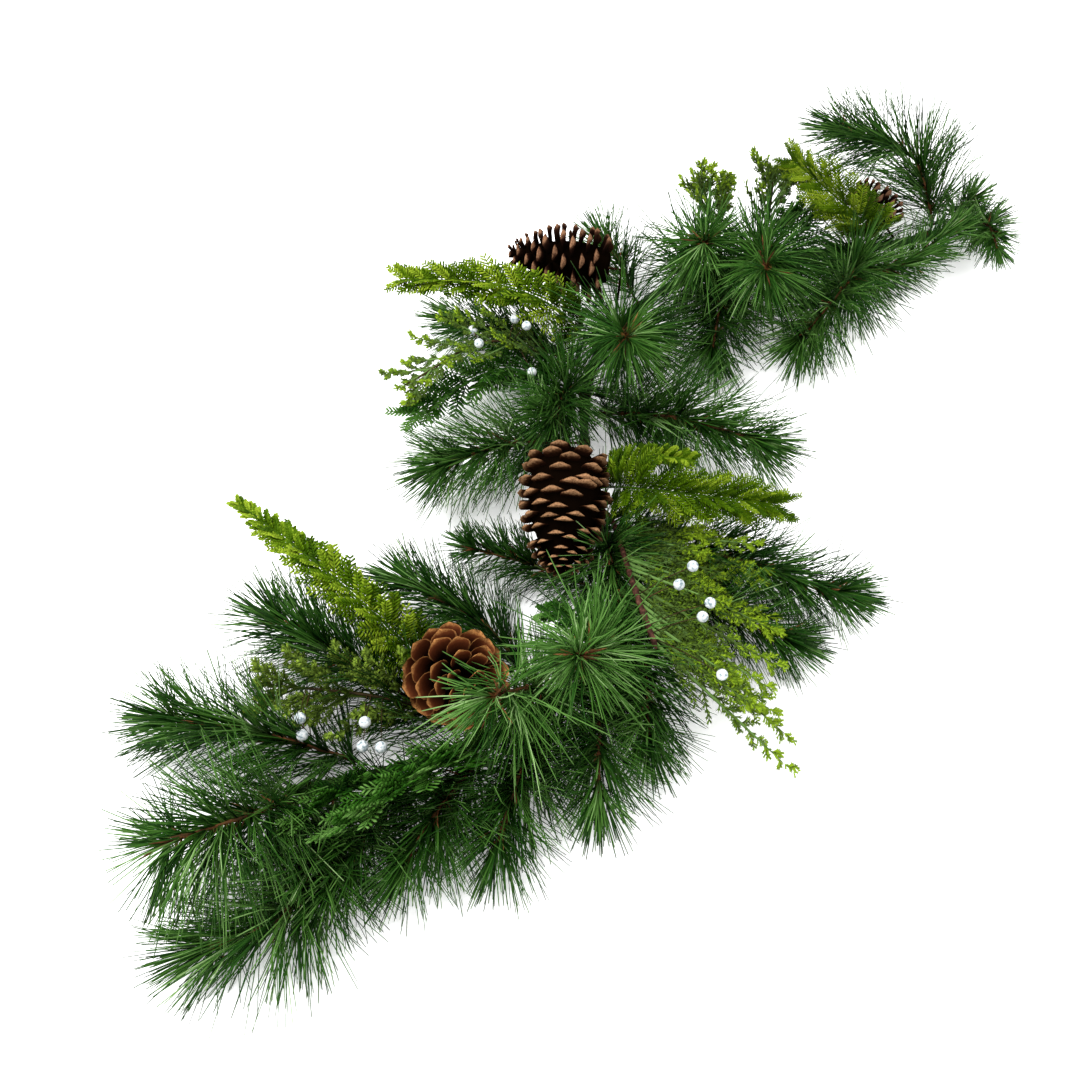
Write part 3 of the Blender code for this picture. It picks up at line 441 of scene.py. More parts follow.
class Heap:
    """Points and triangles of one piece, gathered in bulk and then made into one mesh.

    Each point has three marks for the materials: its tone, how far along its shoot it lies, and
    how much of a shoot's root is brown.
    """

    def __init__(self):
        self.points = []
        self.faces = []
        self.marks = []
        self.slots = []
        self.count = 0

    def add(self, points, faces, marks, slot):
        self.faces.append(faces.reshape(-1, 3) + self.count)
        self.points.append(points.reshape(-1, 3))
        self.marks.append(marks.reshape(-1, 3))
        self.slots.append(np.full(len(self.faces[-1]), slot))
        self.count += len(self.points[-1])

    def build(self, name, materials, node, record_slot):
        """The finished piece, in place of its CAD node."""
        points = np.concatenate(self.points)
        points[:, 2] = np.maximum(points[:, 2], FLOOR / 2)
        faces = np.concatenate(self.faces)
        mesh = bpy.data.meshes.new(name)
        mesh.vertices.add(len(points))
        mesh.vertices.foreach_set("co", points.astype(np.float32).ravel())
        mesh.loops.add(3 * len(faces))
        mesh.loops.foreach_set("vertex_index", faces.astype(np.int32).ravel())
        mesh.polygons.add(len(faces))
        mesh.polygons.foreach_set("loop_start", np.arange(0, 3 * len(faces), 3, dtype=np.int32))
        mesh.polygons.foreach_set("material_index", np.concatenate(self.slots).astype(np.int32))
        mesh.polygons.foreach_set("use_smooth", np.ones(len(faces), bool))
        mesh.update(calc_edges=True)
        marks = np.concatenate(self.marks)
        colours = np.column_stack([marks, np.ones(len(marks))])
        layer = mesh.attributes.new("mark", "FLOAT_COLOR", "POINT")
        layer.data.foreach_set("color", colours.astype(np.float32).ravel())
        for material in materials:
            mesh.materials.append(material)
        piece = add_object(name, mesh)
        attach(piece, "root")
        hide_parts(node)


def rods(heap, paths, halves, across, flats, marks, sides=3, slot=0, lens=False, cup=0.0):
    """Tapered rods, all at once. Paths is (count, stops, 3), and each rod ends in a point.

    Halves is the half width at each stop but the last, and flats squeezes it the other way.
    Marks is (count, stops, 3). A lens has thin edges at its two sides, and its third mark is
    how near the edge a point is. Cup is how far its edges stand up, as a share of its half width.
    """
    count, stops, _ = paths.shape
    rings = stops - 1
    ahead = unit(np.gradient(paths, axis=1))[:, :rings]
    wide = square_to(np.broadcast_to(across[:, None, :], ahead.shape), ahead)
    third = np.cross(ahead, wide)
    angles = 2 * np.pi * (np.arange(sides) + (0.0 if lens else 0.5)) / sides
    rises = np.sin(angles)
    if lens:
        rises = np.where(rises > 0, LENS_UPPER * rises, rises ** 3)
    halves = np.broadcast_to(halves, (count, rings))
    flats = np.broadcast_to(flats, (count, rings))
    level = (halves[..., None] * np.cos(angles))[..., None] * wide[:, :, None]
    heights = (halves * flats)[..., None] * rises + cup * halves[..., None] * np.cos(angles) ** 2
    raised = heights[..., None] * third[:, :, None]
    corners = paths[:, :rings, None] + level + raised
    points = np.concatenate([corners.reshape(count, rings * sides, 3), paths[:, -1:]], axis=1)
    own = np.repeat(marks[:, :rings], sides, axis=1)
    if lens:
        own[..., 2] = np.tile(np.abs(np.cos(angles)), rings)
    own = np.concatenate([own, marks[:, -1:]], axis=1)

    faces = [(0, k + 1, k) for k in range(1, sides - 1)]
    for ring in range(rings - 1):
        for k in range(sides):
            a = ring * sides + k
            b = ring * sides + (k + 1) % sides
            faces.append((a, b, b + sides))
            faces.append((a, b + sides, a + sides))
    last = (rings - 1) * sides
    for k in range(sides):
        faces.append((last + k, last + (k + 1) % sides, rings * sides))
    starts = np.arange(count) * (rings * sides + 1)
    heap.add(points, np.array(faces)[None] + starts[:, None, None], own, slot)


def marks_for(tones, shares, browns):
    """Marks for rods: one tone and one brown root a rod, and one share a stop."""
    count = len(tones)
    marks = np.zeros((count, len(shares), 3))
    marks[..., 0] = np.clip(tones, 0, 1)[:, None]
    marks[..., 1] = np.array(shares)[None]
    marks[..., 2] = np.broadcast_to(browns, count)[:, None]
    return marks


def rod(heap, centres, halves, across, tone, shares, sides, slot):
    """One round rod through the centres."""
    marks = marks_for(np.array([tone]), shares, 0.0)
    rods(heap, centres[None], halves[None], across[None], 1.0, marks, sides, slot)


def tube(heap, route, half, tone, slot=0, sides=6, every=0.004, ridge=0.0):
    """A stem along a route, with a twisted ridge if wanted."""
    count = max(3, round(route.length / every))
    distances = np.linspace(0.0, route.length, count)
    centres, _, across, _ = route.frame(distances)
    halves = half * np.linspace(1.0, STEM_END, count - 1)
    halves = halves * (1 + ridge * np.sin(2 * np.pi * distances[:-1] / TWIST_EVERY))
    rod(heap, centres, halves, across[0], tone, distances / route.length, sides, slot)


class Shoots:
    """Many shoots at once, each from its start along its heading, with a bend."""

    def __init__(self, starts, headings, lengths, across, bends=None):
        self.starts = starts
        self.headings = headings
        self.lengths = lengths
        self.across = across
        self.bends = np.zeros_like(headings) if bends is None else bends

    def __len__(self):
        return len(self.starts)

    def point(self, shares):
        """Points at shares of the length: (count, shares, 3)."""
        t = np.array(shares)[None, :, None]
        run = self.headings[:, None] * t + self.bends[:, None] * t * t
        return self.starts[:, None] + run * self.lengths[:, None, None]

    def heading(self, shares):
        t = np.array(shares)[None, :, None]
        return unit(self.headings[:, None] + 2 * self.bends[:, None] * t)

    def keep(self, wanted):
        """Only the wanted shoots."""
        return Shoots(self.starts[wanted], self.headings[wanted], self.lengths[wanted],
                      self.across[wanted], self.bends[wanted])

    def sprout(self, rng, shares, lean, lengths, rolls, loose=0.12):
        """Shoots that leave these ones at the shares, turned round them by the rolls."""
        points = self.point(shares)
        heads = self.heading(shares)
        wide = square_to(np.broadcast_to(self.across[:, None], heads.shape), heads)
        normal = np.cross(heads, wide)
        made = []
        for roll in rolls:
            out = wide * np.cos(roll) + normal * np.sin(roll)
            out = out + rng.normal(0, loose, out.shape)
            heading = unit(heads * np.cos(lean) + out * np.sin(lean))
            length = self.lengths[:, None] * np.array(lengths)[None]
            length = length * rng.uniform(0.8, 1.1, length.shape)
            made.append((points, heading, length, square_to(wide, heading)))
        starts, headings, lengths, across = (
            np.concatenate([part[k].reshape(-1, *part[k].shape[2:]) for part in made])
            for k in range(4)
        )
        return Shoots(starts, headings, lengths, across, heads_bend(rng, headings))

    def draw(self, heap, stops, halves, flat, tones, brown=0.0, sides=3, slot=0):
        paths = self.point(stops)
        paths[..., 2] = np.maximum(paths[..., 2], FLOOR)
        rods(heap, paths, np.array(halves)[None], self.across, flat,
             marks_for(tones, stops, brown), sides, slot)


def heads_bend(rng, headings, size=0.06):
    """A small bend of each shoot, any way but along itself."""
    return square_to(rng.normal(0, 1, headings.shape), headings) * rng.uniform(0, size, (len(headings), 1))


def vine_route():
    """The vine's centre line, as straight runs of one length."""
    height = VINE_HALF * math.cos(math.pi / VINE_SIDES)
    fine = Route(smooth_curve([(x, y, height) for x, y in VINE_POINTS]), np.array((0.0, 1.0, 0.0)))
    count = round(fine.length / VINE_STEP)
    stops = fine.point(np.linspace(0, fine.length, count + 1))
    return Route(stops, np.cross(UP, stops[1] - stops[0]))


def seat(vine, at, target):
    """Where a pick starts on the vine: the flat that looks most towards the target."""
    index = int(np.searchsorted(vine.marks, at, side="right")) - 1
    heading = unit(vine.points[index + 1] - vine.points[index])
    centre = vine.point(at)
    left = unit(np.cross(UP, heading))
    normals = []
    for eighth in range(5):
        angle = math.pi * eighth / 4
        normals.append(left * math.cos(angle) + UP * math.sin(angle))
    out = max(normals, key=lambda normal: normal.dot(unit(target - centre)))
    reach = VINE_HALF * math.cos(math.pi / VINE_SIDES) + SEAT_GAP
    return centre + out * reach, out, heading


def pick_route(vine, at, via, tip):
    """The stem of a pick: straight off the vine, then in one smooth curve to its tip."""
    tip = np.array(tip)
    stops = [np.array(stop) for stop in via]
    start, out, heading = seat(vine, at, stops[0] if stops else tip)
    first = start + out * LIFT_OFF
    if not stops:
        stops = [(first + tip) / 2 + UP * STEM_ARCH]
    return Route([start - out * VINE_HALF / 2, *smooth_curve([first, *stops, tip])], heading)


def cone_half(share, width):
    """A cone's half width along its axis: round at the base, and drawn in towards the tip."""
    before = np.sqrt(np.maximum(1 - ((share - CONE_WIDEST) / CONE_REACHES[0]) ** 2, 0))
    after = 1 - (np.maximum(share - CONE_WIDEST, 0) / CONE_REACHES[1]) ** CONE_TAPER
    return width / 2 * np.where(share < CONE_WIDEST, before, np.maximum(after, 0))


def clear_of_cones(shoots):
    """Whether each shoot stays outside every cone."""
    clear = np.ones(len(shoots), bool)
    places = shoots.point((0.2, 0.4, 0.6, 0.8, 1.0))
    for _, _, base, tip, width in CONES:
        base, run = np.array(base), np.array(tip) - np.array(base)
        offset = places - base
        share = offset @ run / (run @ run)
        apart = np.linalg.norm(offset - share[..., None] * run, axis=-1)
        beside = (share > -0.08) & (share < 1.06)
        clear &= ~(beside & (apart < cone_half(share, width))).any(axis=1)
    return clear


def windings(heap, vine, at, tone, slot):
    """The end of a pick's wire, twisted round the vine."""
    turns = np.linspace(0, WINDING_TURNS, 40)
    centres, _, across, third = vine.frame(at - 0.004 + WINDING_PITCH * turns)
    angle = (2 * np.pi * turns)[:, None]
    wire = centres + (across * np.cos(angle) + third * np.sin(angle)) * (VINE_HALF + 0.0006)
    wire[:, 2] = np.maximum(wire[:, 2], FLOOR)
    tube(heap, Route(wire, UP), WINDING_HALF, tone, slot, sides=5, every=0.0025)


def round_stem(route, share, roll):
    """Points on a pine's stem, its headings there, and directions turned round it by the rolls."""
    centres, heads, sides, thirds = route.frame(blend((PINE_BARE, route.length), share))
    return centres, heads, sides * np.cos(roll) + thirds * np.sin(roll)


def needles_on(heap, rng, route, name, habit, longest, fresh):
    """A brush of needles in bundles, some of them as a tuft at the stem's tip."""
    bundles = int((route.length - PINE_BARE) * habit.bundles)
    share = np.sort(rng.uniform(0, 1, bundles))
    share[rng.uniform(0, 1, bundles) < TUFT_SHARE] = 1.0
    roll = rng.uniform(0, 2 * np.pi, bundles)
    leans = blend(habit.leans, share) + rng.normal(0, habit.leans_vary, bundles)
    leans = np.where(share >= 1, rng.uniform(*TUFT_LEANS, bundles) * leans, leans)
    # Painted shade: the lower a bundle stands on the stem, the darker its tone, as if deep in the spray.
    tones = fresh + rng.normal(0, TONES_VARY[0], bundles) - habit.painted_depth_shade * (1 - share)
    share, roll, leans, tones = (np.repeat(values, BUNDLE) for values in (share, roll, leans, tones))
    count = len(share)
    roll = (roll + rng.normal(0, BUNDLE_SPREAD, count))[:, None]
    leans = (leans + rng.normal(0, BUNDLE_SPREAD, count))[:, None]
    tones = tones + rng.normal(0, TONES_VARY[1], count)
    centres, heads, radial = round_stem(route, share, roll)
    sweep = np.array((*SWEEPS.get(name, (0.0, 0.0)), 0.0))
    sweep = sweep * (SWEEP_SHARES[0] + SWEEP_SHARES[1] * radial @ unit(sweep + 1e-6))[:, None]
    headings = unit(heads * np.cos(leans) + radial * np.sin(leans) + sweep)
    height = np.clip(centres[:, 2:] / DROOP_HEIGHT, *DROOP_LIMITS)
    droop = height * rng.uniform(0.0, habit.droop, (count, 1))
    bends = heads * rng.uniform(*NEEDLE_BENDS, (count, 1)) - UP * droop + sweep * SWEEP_BEND
    bends = bends + rng.normal(0, habit.bends_vary, (count, 3))
    lengths = longest * rng.uniform(*habit.lengths, count)
    lengths = lengths * np.where(share >= 1, TUFT_LENGTH, 1 - TIP_SHORTER * share ** 3)
    needles = Shoots(centres, headings, lengths, np.cross(heads, radial), bends)
    clear = clear_of_cones(needles)
    if name in PARTINGS:
        low, high = PARTINGS[name]
        azimuth = np.degrees(np.arctan2(headings[:, 1], headings[:, 0]))
        clear &= (azimuth < low) | (azimuth > high)
    browns = np.where(share[clear] > TIP_FROM, habit.tip_brown, ROOT_BROWN)
    halves = NEEDLE_HALF * np.array((0.9, *([1.0] * (len(habit.stops) - 3)), 0.7))
    needles.keep(clear).draw(heap, habit.stops, halves, NEEDLE_FLAT, tones[clear], browns)


def husks_on(heap, rng, route, habit):
    """Curled brown husks along a stem, and more at a star's tip."""
    count = int((route.length - PINE_BARE) * HUSKS_PER_METRE)
    share = np.concatenate([rng.uniform(0.1, 1, count), rng.uniform(0.9, 1, habit.tip_husks)])
    count += habit.tip_husks
    centres, heads, radial = round_stem(route, share, rng.uniform(0, 2 * np.pi, count)[:, None])
    lean = rng.uniform(0.2, habit.husk_lean, count)[:, None]
    headings = heads * np.cos(lean) + radial * np.sin(lean)
    husks = Shoots(centres, headings, rng.uniform(*HUSK_LENGTHS, count), np.cross(heads, radial),
                   radial * rng.uniform(-0.3, 0.5, (count, 1)))
    husks.draw(heap, (0.0, 0.4, 0.8, 1.0), HUSK_HALVES, 0.3, rng.uniform(0.5, 1.0, count), sides=4, slot=1)


def pine(name, at, via, tip, length_share, fresh, vine, rng, materials):
    """A twisted stem, a brush of fine needles round it, and brown husks."""
    route = pick_route(vine, at, via, tip)
    habit = STAR if name in STARS else LYING
    heap = Heap()
    tube(heap, route, PINE_HALF, tone=0.55, slot=1, ridge=PINE_RIDGE)
    windings(heap, vine, at, 0.4, 1)
    needles_on(heap, rng, route, name, habit, NEEDLE_LENGTH * length_share, fresh)
    husks_on(heap, rng, route, habit)
    heap.build(name + "_spray", materials, name, "pine_green")


def branchlets_on(rng, route, every, longest, taper):
    """A cedar's branchlets, and the share of the stem where each stands."""
    bare = route.length * CEDAR_BARE_SHARE
    count = int((route.length - bare) / every)
    share = (np.arange(count) + rng.uniform(0, 0.8, count)) / count
    centres, heads, sides, thirds = route.frame(bare + (route.length - bare) * share)
    up = thirds * np.sign(thirds[:, 2:3])
    sign = np.where(np.arange(count) % 2 == 0, 1.0, -1.0)[:, None]
    roll = rng.uniform(*LEAFLET_ROLLS, count)[:, None]
    out = sides * sign * np.cos(roll) + up * np.sin(roll)
    lean = LEAFLET_LEAN * (1 - 0.35 * share[:, None]) + rng.normal(0, 0.1, (count, 1))
    headings = heads * np.cos(lean) + out * np.sin(lean)
    lengths = longest * (1 - taper * share ** 1.5) * np.minimum(1, 0.8 + 3 * share)
    lengths = lengths * rng.uniform(*LEAFLETS_VARY, count) * (1 - 0.3 * np.abs(roll[:, 0]))
    made = Shoots(centres, headings, lengths, square_to(heads, headings), heads * LEAFLET_BEND)
    clear = clear_of_cones(made)
    return made.keep(clear), share[clear]


def cedar(name, at, via, tip, widest, fresh, vine, rng, materials, record_slot):
    """Branchlets round the upper sides of a stem, each with two rows of fine fingers."""
    route = pick_route(vine, at, via, tip)
    leaves = OPEN_LEAVES if record_slot == "cedar_lime" else BROAD_LEAVES
    every, pairs, finger_share, finger_half = FINE_LEAVES if name in FINE_CEDARS else leaves
    heap = Heap()
    tube(heap, route, CEDAR_HALF, tone=0.45)
    windings(heap, vine, at, 0.3, 1)
    taper = LEAFLET_TAPERS[0 if name in POINTED_CEDARS else 1]
    branchlets, reach = branchlets_on(rng, route, every, LEAFLET_LENGTH * widest, taper)
    tones = fresh + rng.uniform(0.15, 0.75, len(branchlets))
    halves = BRANCHLET_HALF * np.array((1.0, 1.0, 0.9))
    branchlets.draw(heap, (0.0, 0.5, 0.97, 1.0), halves, 0.7, tones, reach)
    places = np.linspace(0.12, 0.96, pairs)
    shares = finger_share * (1 - 1.6 * (places - 0.45) ** 2)
    fingers = branchlets.sprout(rng, places, FINGER_LEAN, shares, BOTH_SIDES, 0.1)
    tones = np.tile(np.repeat(tones, pairs), 2) + rng.normal(0, 0.08, len(fingers))
    tones = tones + 0.15 * np.tile(places, 2 * len(branchlets))
    reach = np.tile(np.repeat(reach, pairs), 2)
    fingers.draw(heap, (0.0, 0.7, 1.0), finger_half * np.array((0.7, 1.0)), FINGER_FLAT, tones, reach)
    heap.build(name + "_frond", materials, name, record_slot)


def lobes(heap, rng, shoots, row, places, fresh, gain=0.15):
    """Pointed lobes on both sides of shoots, with two scales each. The third mark is the place."""
    *span, size = row
    shares = np.linspace(*span)
    made = shoots.sprout(rng, shares, LOBE_LEAN, np.ones(len(shares)), BOTH_SIDES, 0.25)
    own = np.tile(shares, 2 * len(shoots))
    made.lengths = size * rng.uniform(*LOBES_VARY, len(made)) * (1 - 0.4 * own)
    where = np.tile(np.repeat(places, len(shares)), 2) + gain * own
    tones = fresh + rng.uniform(0.34, 0.96, len(made))
    made.draw(heap, (0.0, 0.5, 1.0), LOBE_HALF * np.array((0.6, 1.0)), 0.7, tones, where)
    scales = made.sprout(rng, (0.45,), LOBE_LEAN, (0.55,), BOTH_SIDES, 0.2)
    scales.draw(heap, (0.0, 1.0), (0.8 * LOBE_HALF,), 0.7, np.tile(tones, 2), np.tile(where, 2))


def scaly_twigs(heap, rng, twigs, row, fresh, half=TWIG_HALF):
    """Twigs that are smooth at first, then have side sprigs set with lobes, down to the tip."""
    twigs.draw(heap, (0.0, 0.3, 0.7, 1.0), half * np.array((1.0, 0.8, 0.5)), 1.0,
               rng.uniform(0.15, 0.4, len(twigs)), 0.0, sides=5)
    lobes(heap, rng, twigs, TWIG_LOBES, np.zeros(len(twigs)), fresh, 1.0)
    *span, longest = row
    for number, place in enumerate(np.linspace(*span)):
        side = BOTH_SIDES[number % 2] + rng.normal(0, 0.35)
        sprigs = twigs.sprout(rng, (place,), SPRIG_LEAN, (1.0,), (side,), 0.24)
        sprigs.lengths = longest * (1 - 0.65 * place) * rng.uniform(*SPRIGS_VARY, len(sprigs))
        spots = np.full(len(sprigs), place)
        sprigs.draw(heap, (0.0, 0.6, 1.0), SPRIG_HALVES, 1.0, rng.uniform(0.2, 0.7, len(sprigs)), spots)
        lobes(heap, rng, sprigs, SPRIG_LOBES, spots, fresh)


def berry_ball(heap, centre, slot):
    """A round berry, as rings with a point on top."""
    angles = np.pi * (np.arange(BERRY_ROWS) + 0.6) / BERRY_ROWS - np.pi / 2
    centres = centre + UP * BERRY_RADIUS * np.append(np.sin(angles), 1.0)[:, None]
    shares = np.linspace(0, 1, BERRY_ROWS + 1)
    rod(heap, centres, BERRY_RADIUS * np.cos(angles), np.array((1.0, 0.0, 0.0)), 0.5, shares,
        BERRY_SIDES, slot)


def stalks(heap, route, berries, slot, berry_slot):
    """Berries, with a thin stalk from the nearest part of the stem to each."""
    distances = np.linspace(0.3, 0.95, 40) * route.length
    for place in berries:
        place = np.array(place)
        near = distances[np.argmin(np.linalg.norm(route.point(distances) - place, axis=1))]
        start = route.point(near)
        middle = (start + place) / 2 + UP * STALK_ARCH
        path = Route(smooth_curve([start, middle, place], 6), UP + 0.01)
        tube(heap, path, STALK_HALF, tone=0.3, slot=slot, sides=4)
        berry_ball(heap, place, berry_slot)


def juniper(name, at, via, tip, fresh, berries, vine, rng, materials):
    """A stem with lush twigs on both sides, and berries."""
    route = pick_route(vine, at, via, tip)
    heap = Heap()
    tube(heap, route, JUNIPER_HALF, tone=0.3, slot=1)
    windings(heap, vine, at, 0.3, 1)
    starts, targets = [], []
    for share in np.linspace(*TWIG_PAIRS):
        centre, heading, side, third = route.frame(route.length * share)
        for face in (side, -side):
            lift = rng.uniform(*TWIG_LIFTS)
            lean = rng.uniform(*TWIG_LEANS)
            out = face * math.cos(lift) + third * np.sign(third[2]) * math.sin(lift)
            way = heading * math.cos(lean) + out * math.sin(lean)
            starts.append(centre)
            targets.append(centre + way * blend(TWIG_LENGTHS, share) * rng.uniform(0.7, 1.1))
    starts.append(route.point(route.length * 0.8))
    targets.append(route.point(route.length) + unit(route.headings[-1]) * 0.006)
    twigs = between(np.array(starts), np.array(targets), rng)
    scaly_twigs(heap, rng, twigs, SPRIGS, fresh)
    stalks(heap, route, berries, 1, 2)
    heap.build(name + "_sprig", materials, name, "juniper_green")


def between(starts, targets, rng):
    """Shoots from starts to targets."""
    run = targets - starts
    lengths = np.linalg.norm(run, axis=1)
    headings = run / lengths[:, None]
    bends = heads_bend(rng, headings, 0.1)
    across = square_to(np.cross(headings, UP) + 0.01, headings)
    return Shoots(starts, unit(headings - bends), lengths, across, bends)


def fan(vine, rng, materials):
    """The long brown stem with its twigs on one side."""
    route = pick_route(vine, FAN_AT, FAN_VIA, FAN_TIP)
    heap = Heap()
    distances = np.linspace(0, route.length, 60)
    centres, _, across, _ = route.frame(distances)
    knobs = FAN_HALF * (1 + KNOB_RISE * np.maximum(0, np.sin(2 * np.pi * distances[:-1] / KNOB_EVERY)) ** 4)
    rod(heap, centres, knobs, across[0], 0.6, distances / route.length, 8, 3)
    windings(heap, vine, FAN_AT, 0.5, 1)
    starts, targets = [], []
    shares = [share for share, _ in FAN_OUTLINE]
    outline = np.array([point for _, point in FAN_OUTLINE])
    places = np.linspace(shares[0] + FAN_PAST[0], shares[-1] + FAN_PAST[1], 2 * FAN_PAIRS)
    for share, reach in zip(places, FAN_REACHES * FAN_PAIRS):
        target = np.array([np.interp(share, shares, outline[:, k]) for k in range(3)])
        start = route.point(route.length * share)
        starts.append(start)
        targets.append(start + (target - start) * reach + rng.normal(0, FAN_STRAYS, 3))
    twigs = between(np.array(starts), np.array(targets), rng)
    scaly_twigs(heap, rng, twigs, FAN_SPRIGS, FAN_FRESH, FAN_TWIG_HALF)
    stalks(heap, route, FAN_BERRIES, 1, 2)
    heap.build("juniper_2_sprig", materials, "juniper_2", "juniper_green")


def cone_wire(heap, vine, at, base, axis):
    """The wire from the vine into a cone's base."""
    start, out, heading = seat(vine, at, base)
    wire = smooth_curve([start + out * LIFT_OFF, base - axis * WIRE_END], 4)
    route = Route([start - out * VINE_HALF / 2, *wire, base + axis * 0.004], heading)
    tube(heap, route, CONE_WIRE_HALF, tone=0.1)
    windings(heap, vine, at, 0.1, 0)


def cone(name, at, base, tip, width, vine, rng, material):
    """Scales in a spiral on an oval core."""
    scales, sections, wide_share, rises, core_share, cup = CONE_FORMS[name]
    base, tip = np.array(base), np.array(tip)
    length = np.linalg.norm(tip - base)
    axis = (tip - base) / length
    across = unit(np.cross(axis, UP))
    heap = Heap()
    cone_wire(heap, vine, at, base, axis)
    stops = np.linspace(0.0, 1.0, 14)
    core = core_share * cone_half(stops, width) + 0.001
    # The core takes the near-black first colour: painted shade, deep among the scales.
    rod(heap, base + axis * length * stops[:, None], core[:-1], across, 0.05, stops * 0, 12, 0)

    number = np.arange(scales)
    share = blend(SCALE_SPAN, (number + 0.5) / scales)
    roll = GOLDEN_ANGLE * number + rng.normal(0, 0.08, scales)
    third = np.cross(axis, across)
    radial = across * np.cos(roll)[:, None] + third * np.sin(roll)[:, None]
    rise = blend(np.radians(rises), share ** 0.8) + rng.normal(0, 0.07, scales)
    heading = radial * np.cos(rise)[:, None] + axis * np.sin(rise)[:, None]
    inner = ROOT_SHARE * cone_half(share, width)
    reach = (cone_half(share, width) - inner) / np.cos(np.minimum(rise, STEEPEST))
    reach = np.maximum(reach / sections[-1][0], SCALE_SHORTEST) * rng.uniform(0.95, 1.04, scales)
    starts = base + axis * (length * share)[:, None] + radial * inner[:, None]
    bends = np.tile(-axis * SCALE_BEND, (scales, 1))
    shoots = Shoots(starts, heading, reach, np.cross(axis, radial), bends)
    half = wide_share * np.pi * cone_half(share, width) / np.sqrt(scales)
    half = np.maximum(half, SCALE_NARROWEST) * rng.uniform(0.92, 1.08, scales)
    where, wide, thick = (np.array([row[k] for row in sections]) for k in range(3))
    tones = 0.34 + 0.3 * share + rng.normal(0, 0.14, scales)
    rods(heap, shoots.point(where), half[:, None] * wide[None, :-1], shoots.across, thick[None, :-1],
         marks_for(tones, where, 0.0), SCALE_SIDES, lens=True, cup=cup)
    heap.build(name + "_scales", [material], name, "cone_brown")


def wrapped_vine(vine, material):
    """The wire with its tape wound round it."""
    heap = Heap()
    distances = np.linspace(0, vine.length, 640)
    centres, _, across, _ = vine.frame(distances)
    halves = VINE_HALF * (TAPE_LEAST + TAPE_RIDGE * ((distances[:-1] / TAPE_EVERY) % 1.0))
    rod(heap, centres, halves, across[0], 0.3, distances / vine.length, 14, 0)
    heap.build("vine_tape", [material], "vine", "vine_tape")


class Look:
    """A material's node tree, with short calls for the nodes used here."""

    def __init__(self, name):
        self.material = bpy.data.materials.new(name)
        self.material.use_nodes = True
        self.tree = self.material.node_tree
        self.shader = self.tree.nodes["Principled BSDF"]
        mark = self.node("Attribute")
        mark.attribute_name = "mark"
        parts = self.node("SeparateColor", {0: mark.outputs["Color"]})
        self.tone, self.along, self.reach = parts.outputs
        self.place = self.node("TexCoord").outputs["Object"]

    def node(self, kind, inputs=None):
        made = self.tree.nodes.new("ShaderNode" + kind)
        self.feed(made, inputs or {})
        return made

    def feed(self, node, inputs):
        """Link each input to another node's output, or set it to a plain number or colour."""
        for socket, value in inputs.items():
            if isinstance(value, bpy.types.NodeSocket):
                self.tree.links.new(value, node.inputs[socket])
            else:
                node.inputs[socket].default_value = (*value, 1.0) if isinstance(value, tuple) else value

    def noise(self, scale, detail=2.0):
        inputs = {"Vector": self.place, "Scale": scale, "Detail": detail}
        return self.node("TexNoise", inputs).outputs["Fac"]

    def mottle(self, scale, low, high, detail=2.0):
        """Noise from low to high."""
        return self.level(self.noise(scale, detail), *NOISE_SPAN, low, high)

    def ramp(self, value, stops):
        """Colours at places from 0 to 1."""
        made = self.node("ValToRGB", {"Fac": value})
        elements = made.color_ramp.elements
        while len(elements) < len(stops):
            elements.new(0.5)
        for element, (place, color) in zip(elements, stops):
            element.position = place
            element.color = (*color, 1.0)
        return made.outputs["Color"]

    def level(self, value, low, high, start=0.0, end=1.0):
        """Value from low to high, taken to start to end and held there."""
        inputs = {"Value": value, "From Min": low, "From Max": high, "To Min": start, "To Max": end}
        return self.node("MapRange", inputs).outputs["Result"]

    def sum(self, first, second, how="ADD"):
        made = self.node("Math", {0: first, 1: second})
        made.operation = how
        return made.outputs[0]

    def mix(self, factor, first, second):
        made = self.node("Mix")
        made.data_type = "RGBA"
        self.feed(made, {"Factor": factor, "A": first, "B": second})
        return made.outputs["Result"]

    def finish(self, color, rough, bump, strength=0.3, distance=0.0004, shine=SHINE):
        """The material, with bumps."""
        bumps = self.node("Bump", {"Height": bump, "Strength": strength, "Distance": distance})
        self.feed(self.shader, {
            "Base Color": color, "Roughness": rough, "Specular IOR Level": shine,
            "Normal": bumps.outputs["Normal"],
        })
        return self.material


def needle_look():
    """Green plastic needles, each of its own shade, with brown roots and dull tips."""
    look = Look("needle_green")
    shade = look.sum(look.tone, look.mottle(14, -0.12, 0.12))
    green = look.ramp(shade, (
        (0.0, (0.003, 0.018, 0.001)), (0.25, (0.012, 0.055, 0.005)), (0.5, (0.04, 0.115, 0.014)),
        (0.75, (0.098, 0.215, 0.045)), (1.0, (0.23, 0.36, 0.14)),
    ))
    green = look.mix(look.level(look.along, 0.82, 1.0, 0.0, 0.35), green, (0.05, 0.062, 0.03))
    root = look.level(look.sum(look.reach, look.along, "SUBTRACT"), -0.02, 0.05)
    color = look.mix(root, green, (0.2, 0.075, 0.022))
    return look.finish(color, look.mottle(60, 0.48, 0.66), look.noise(900, 1.0), 0.25, 0.0002)


def stem_look():
    """Twisted wire with brown paper, and the husks."""
    look = Look("stem_brown")
    color = look.ramp(look.sum(look.tone, look.mottle(120, -0.25, 0.25)), (
        (0.0, (0.01, 0.009, 0.004)), (0.4, (0.034, 0.022, 0.009)), (0.75, (0.1, 0.04, 0.015)),
        (1.0, (0.22, 0.09, 0.034)),
    ))
    return look.finish(color, look.mottle(80, 0.65, 0.9), look.noise(700), 0.5)


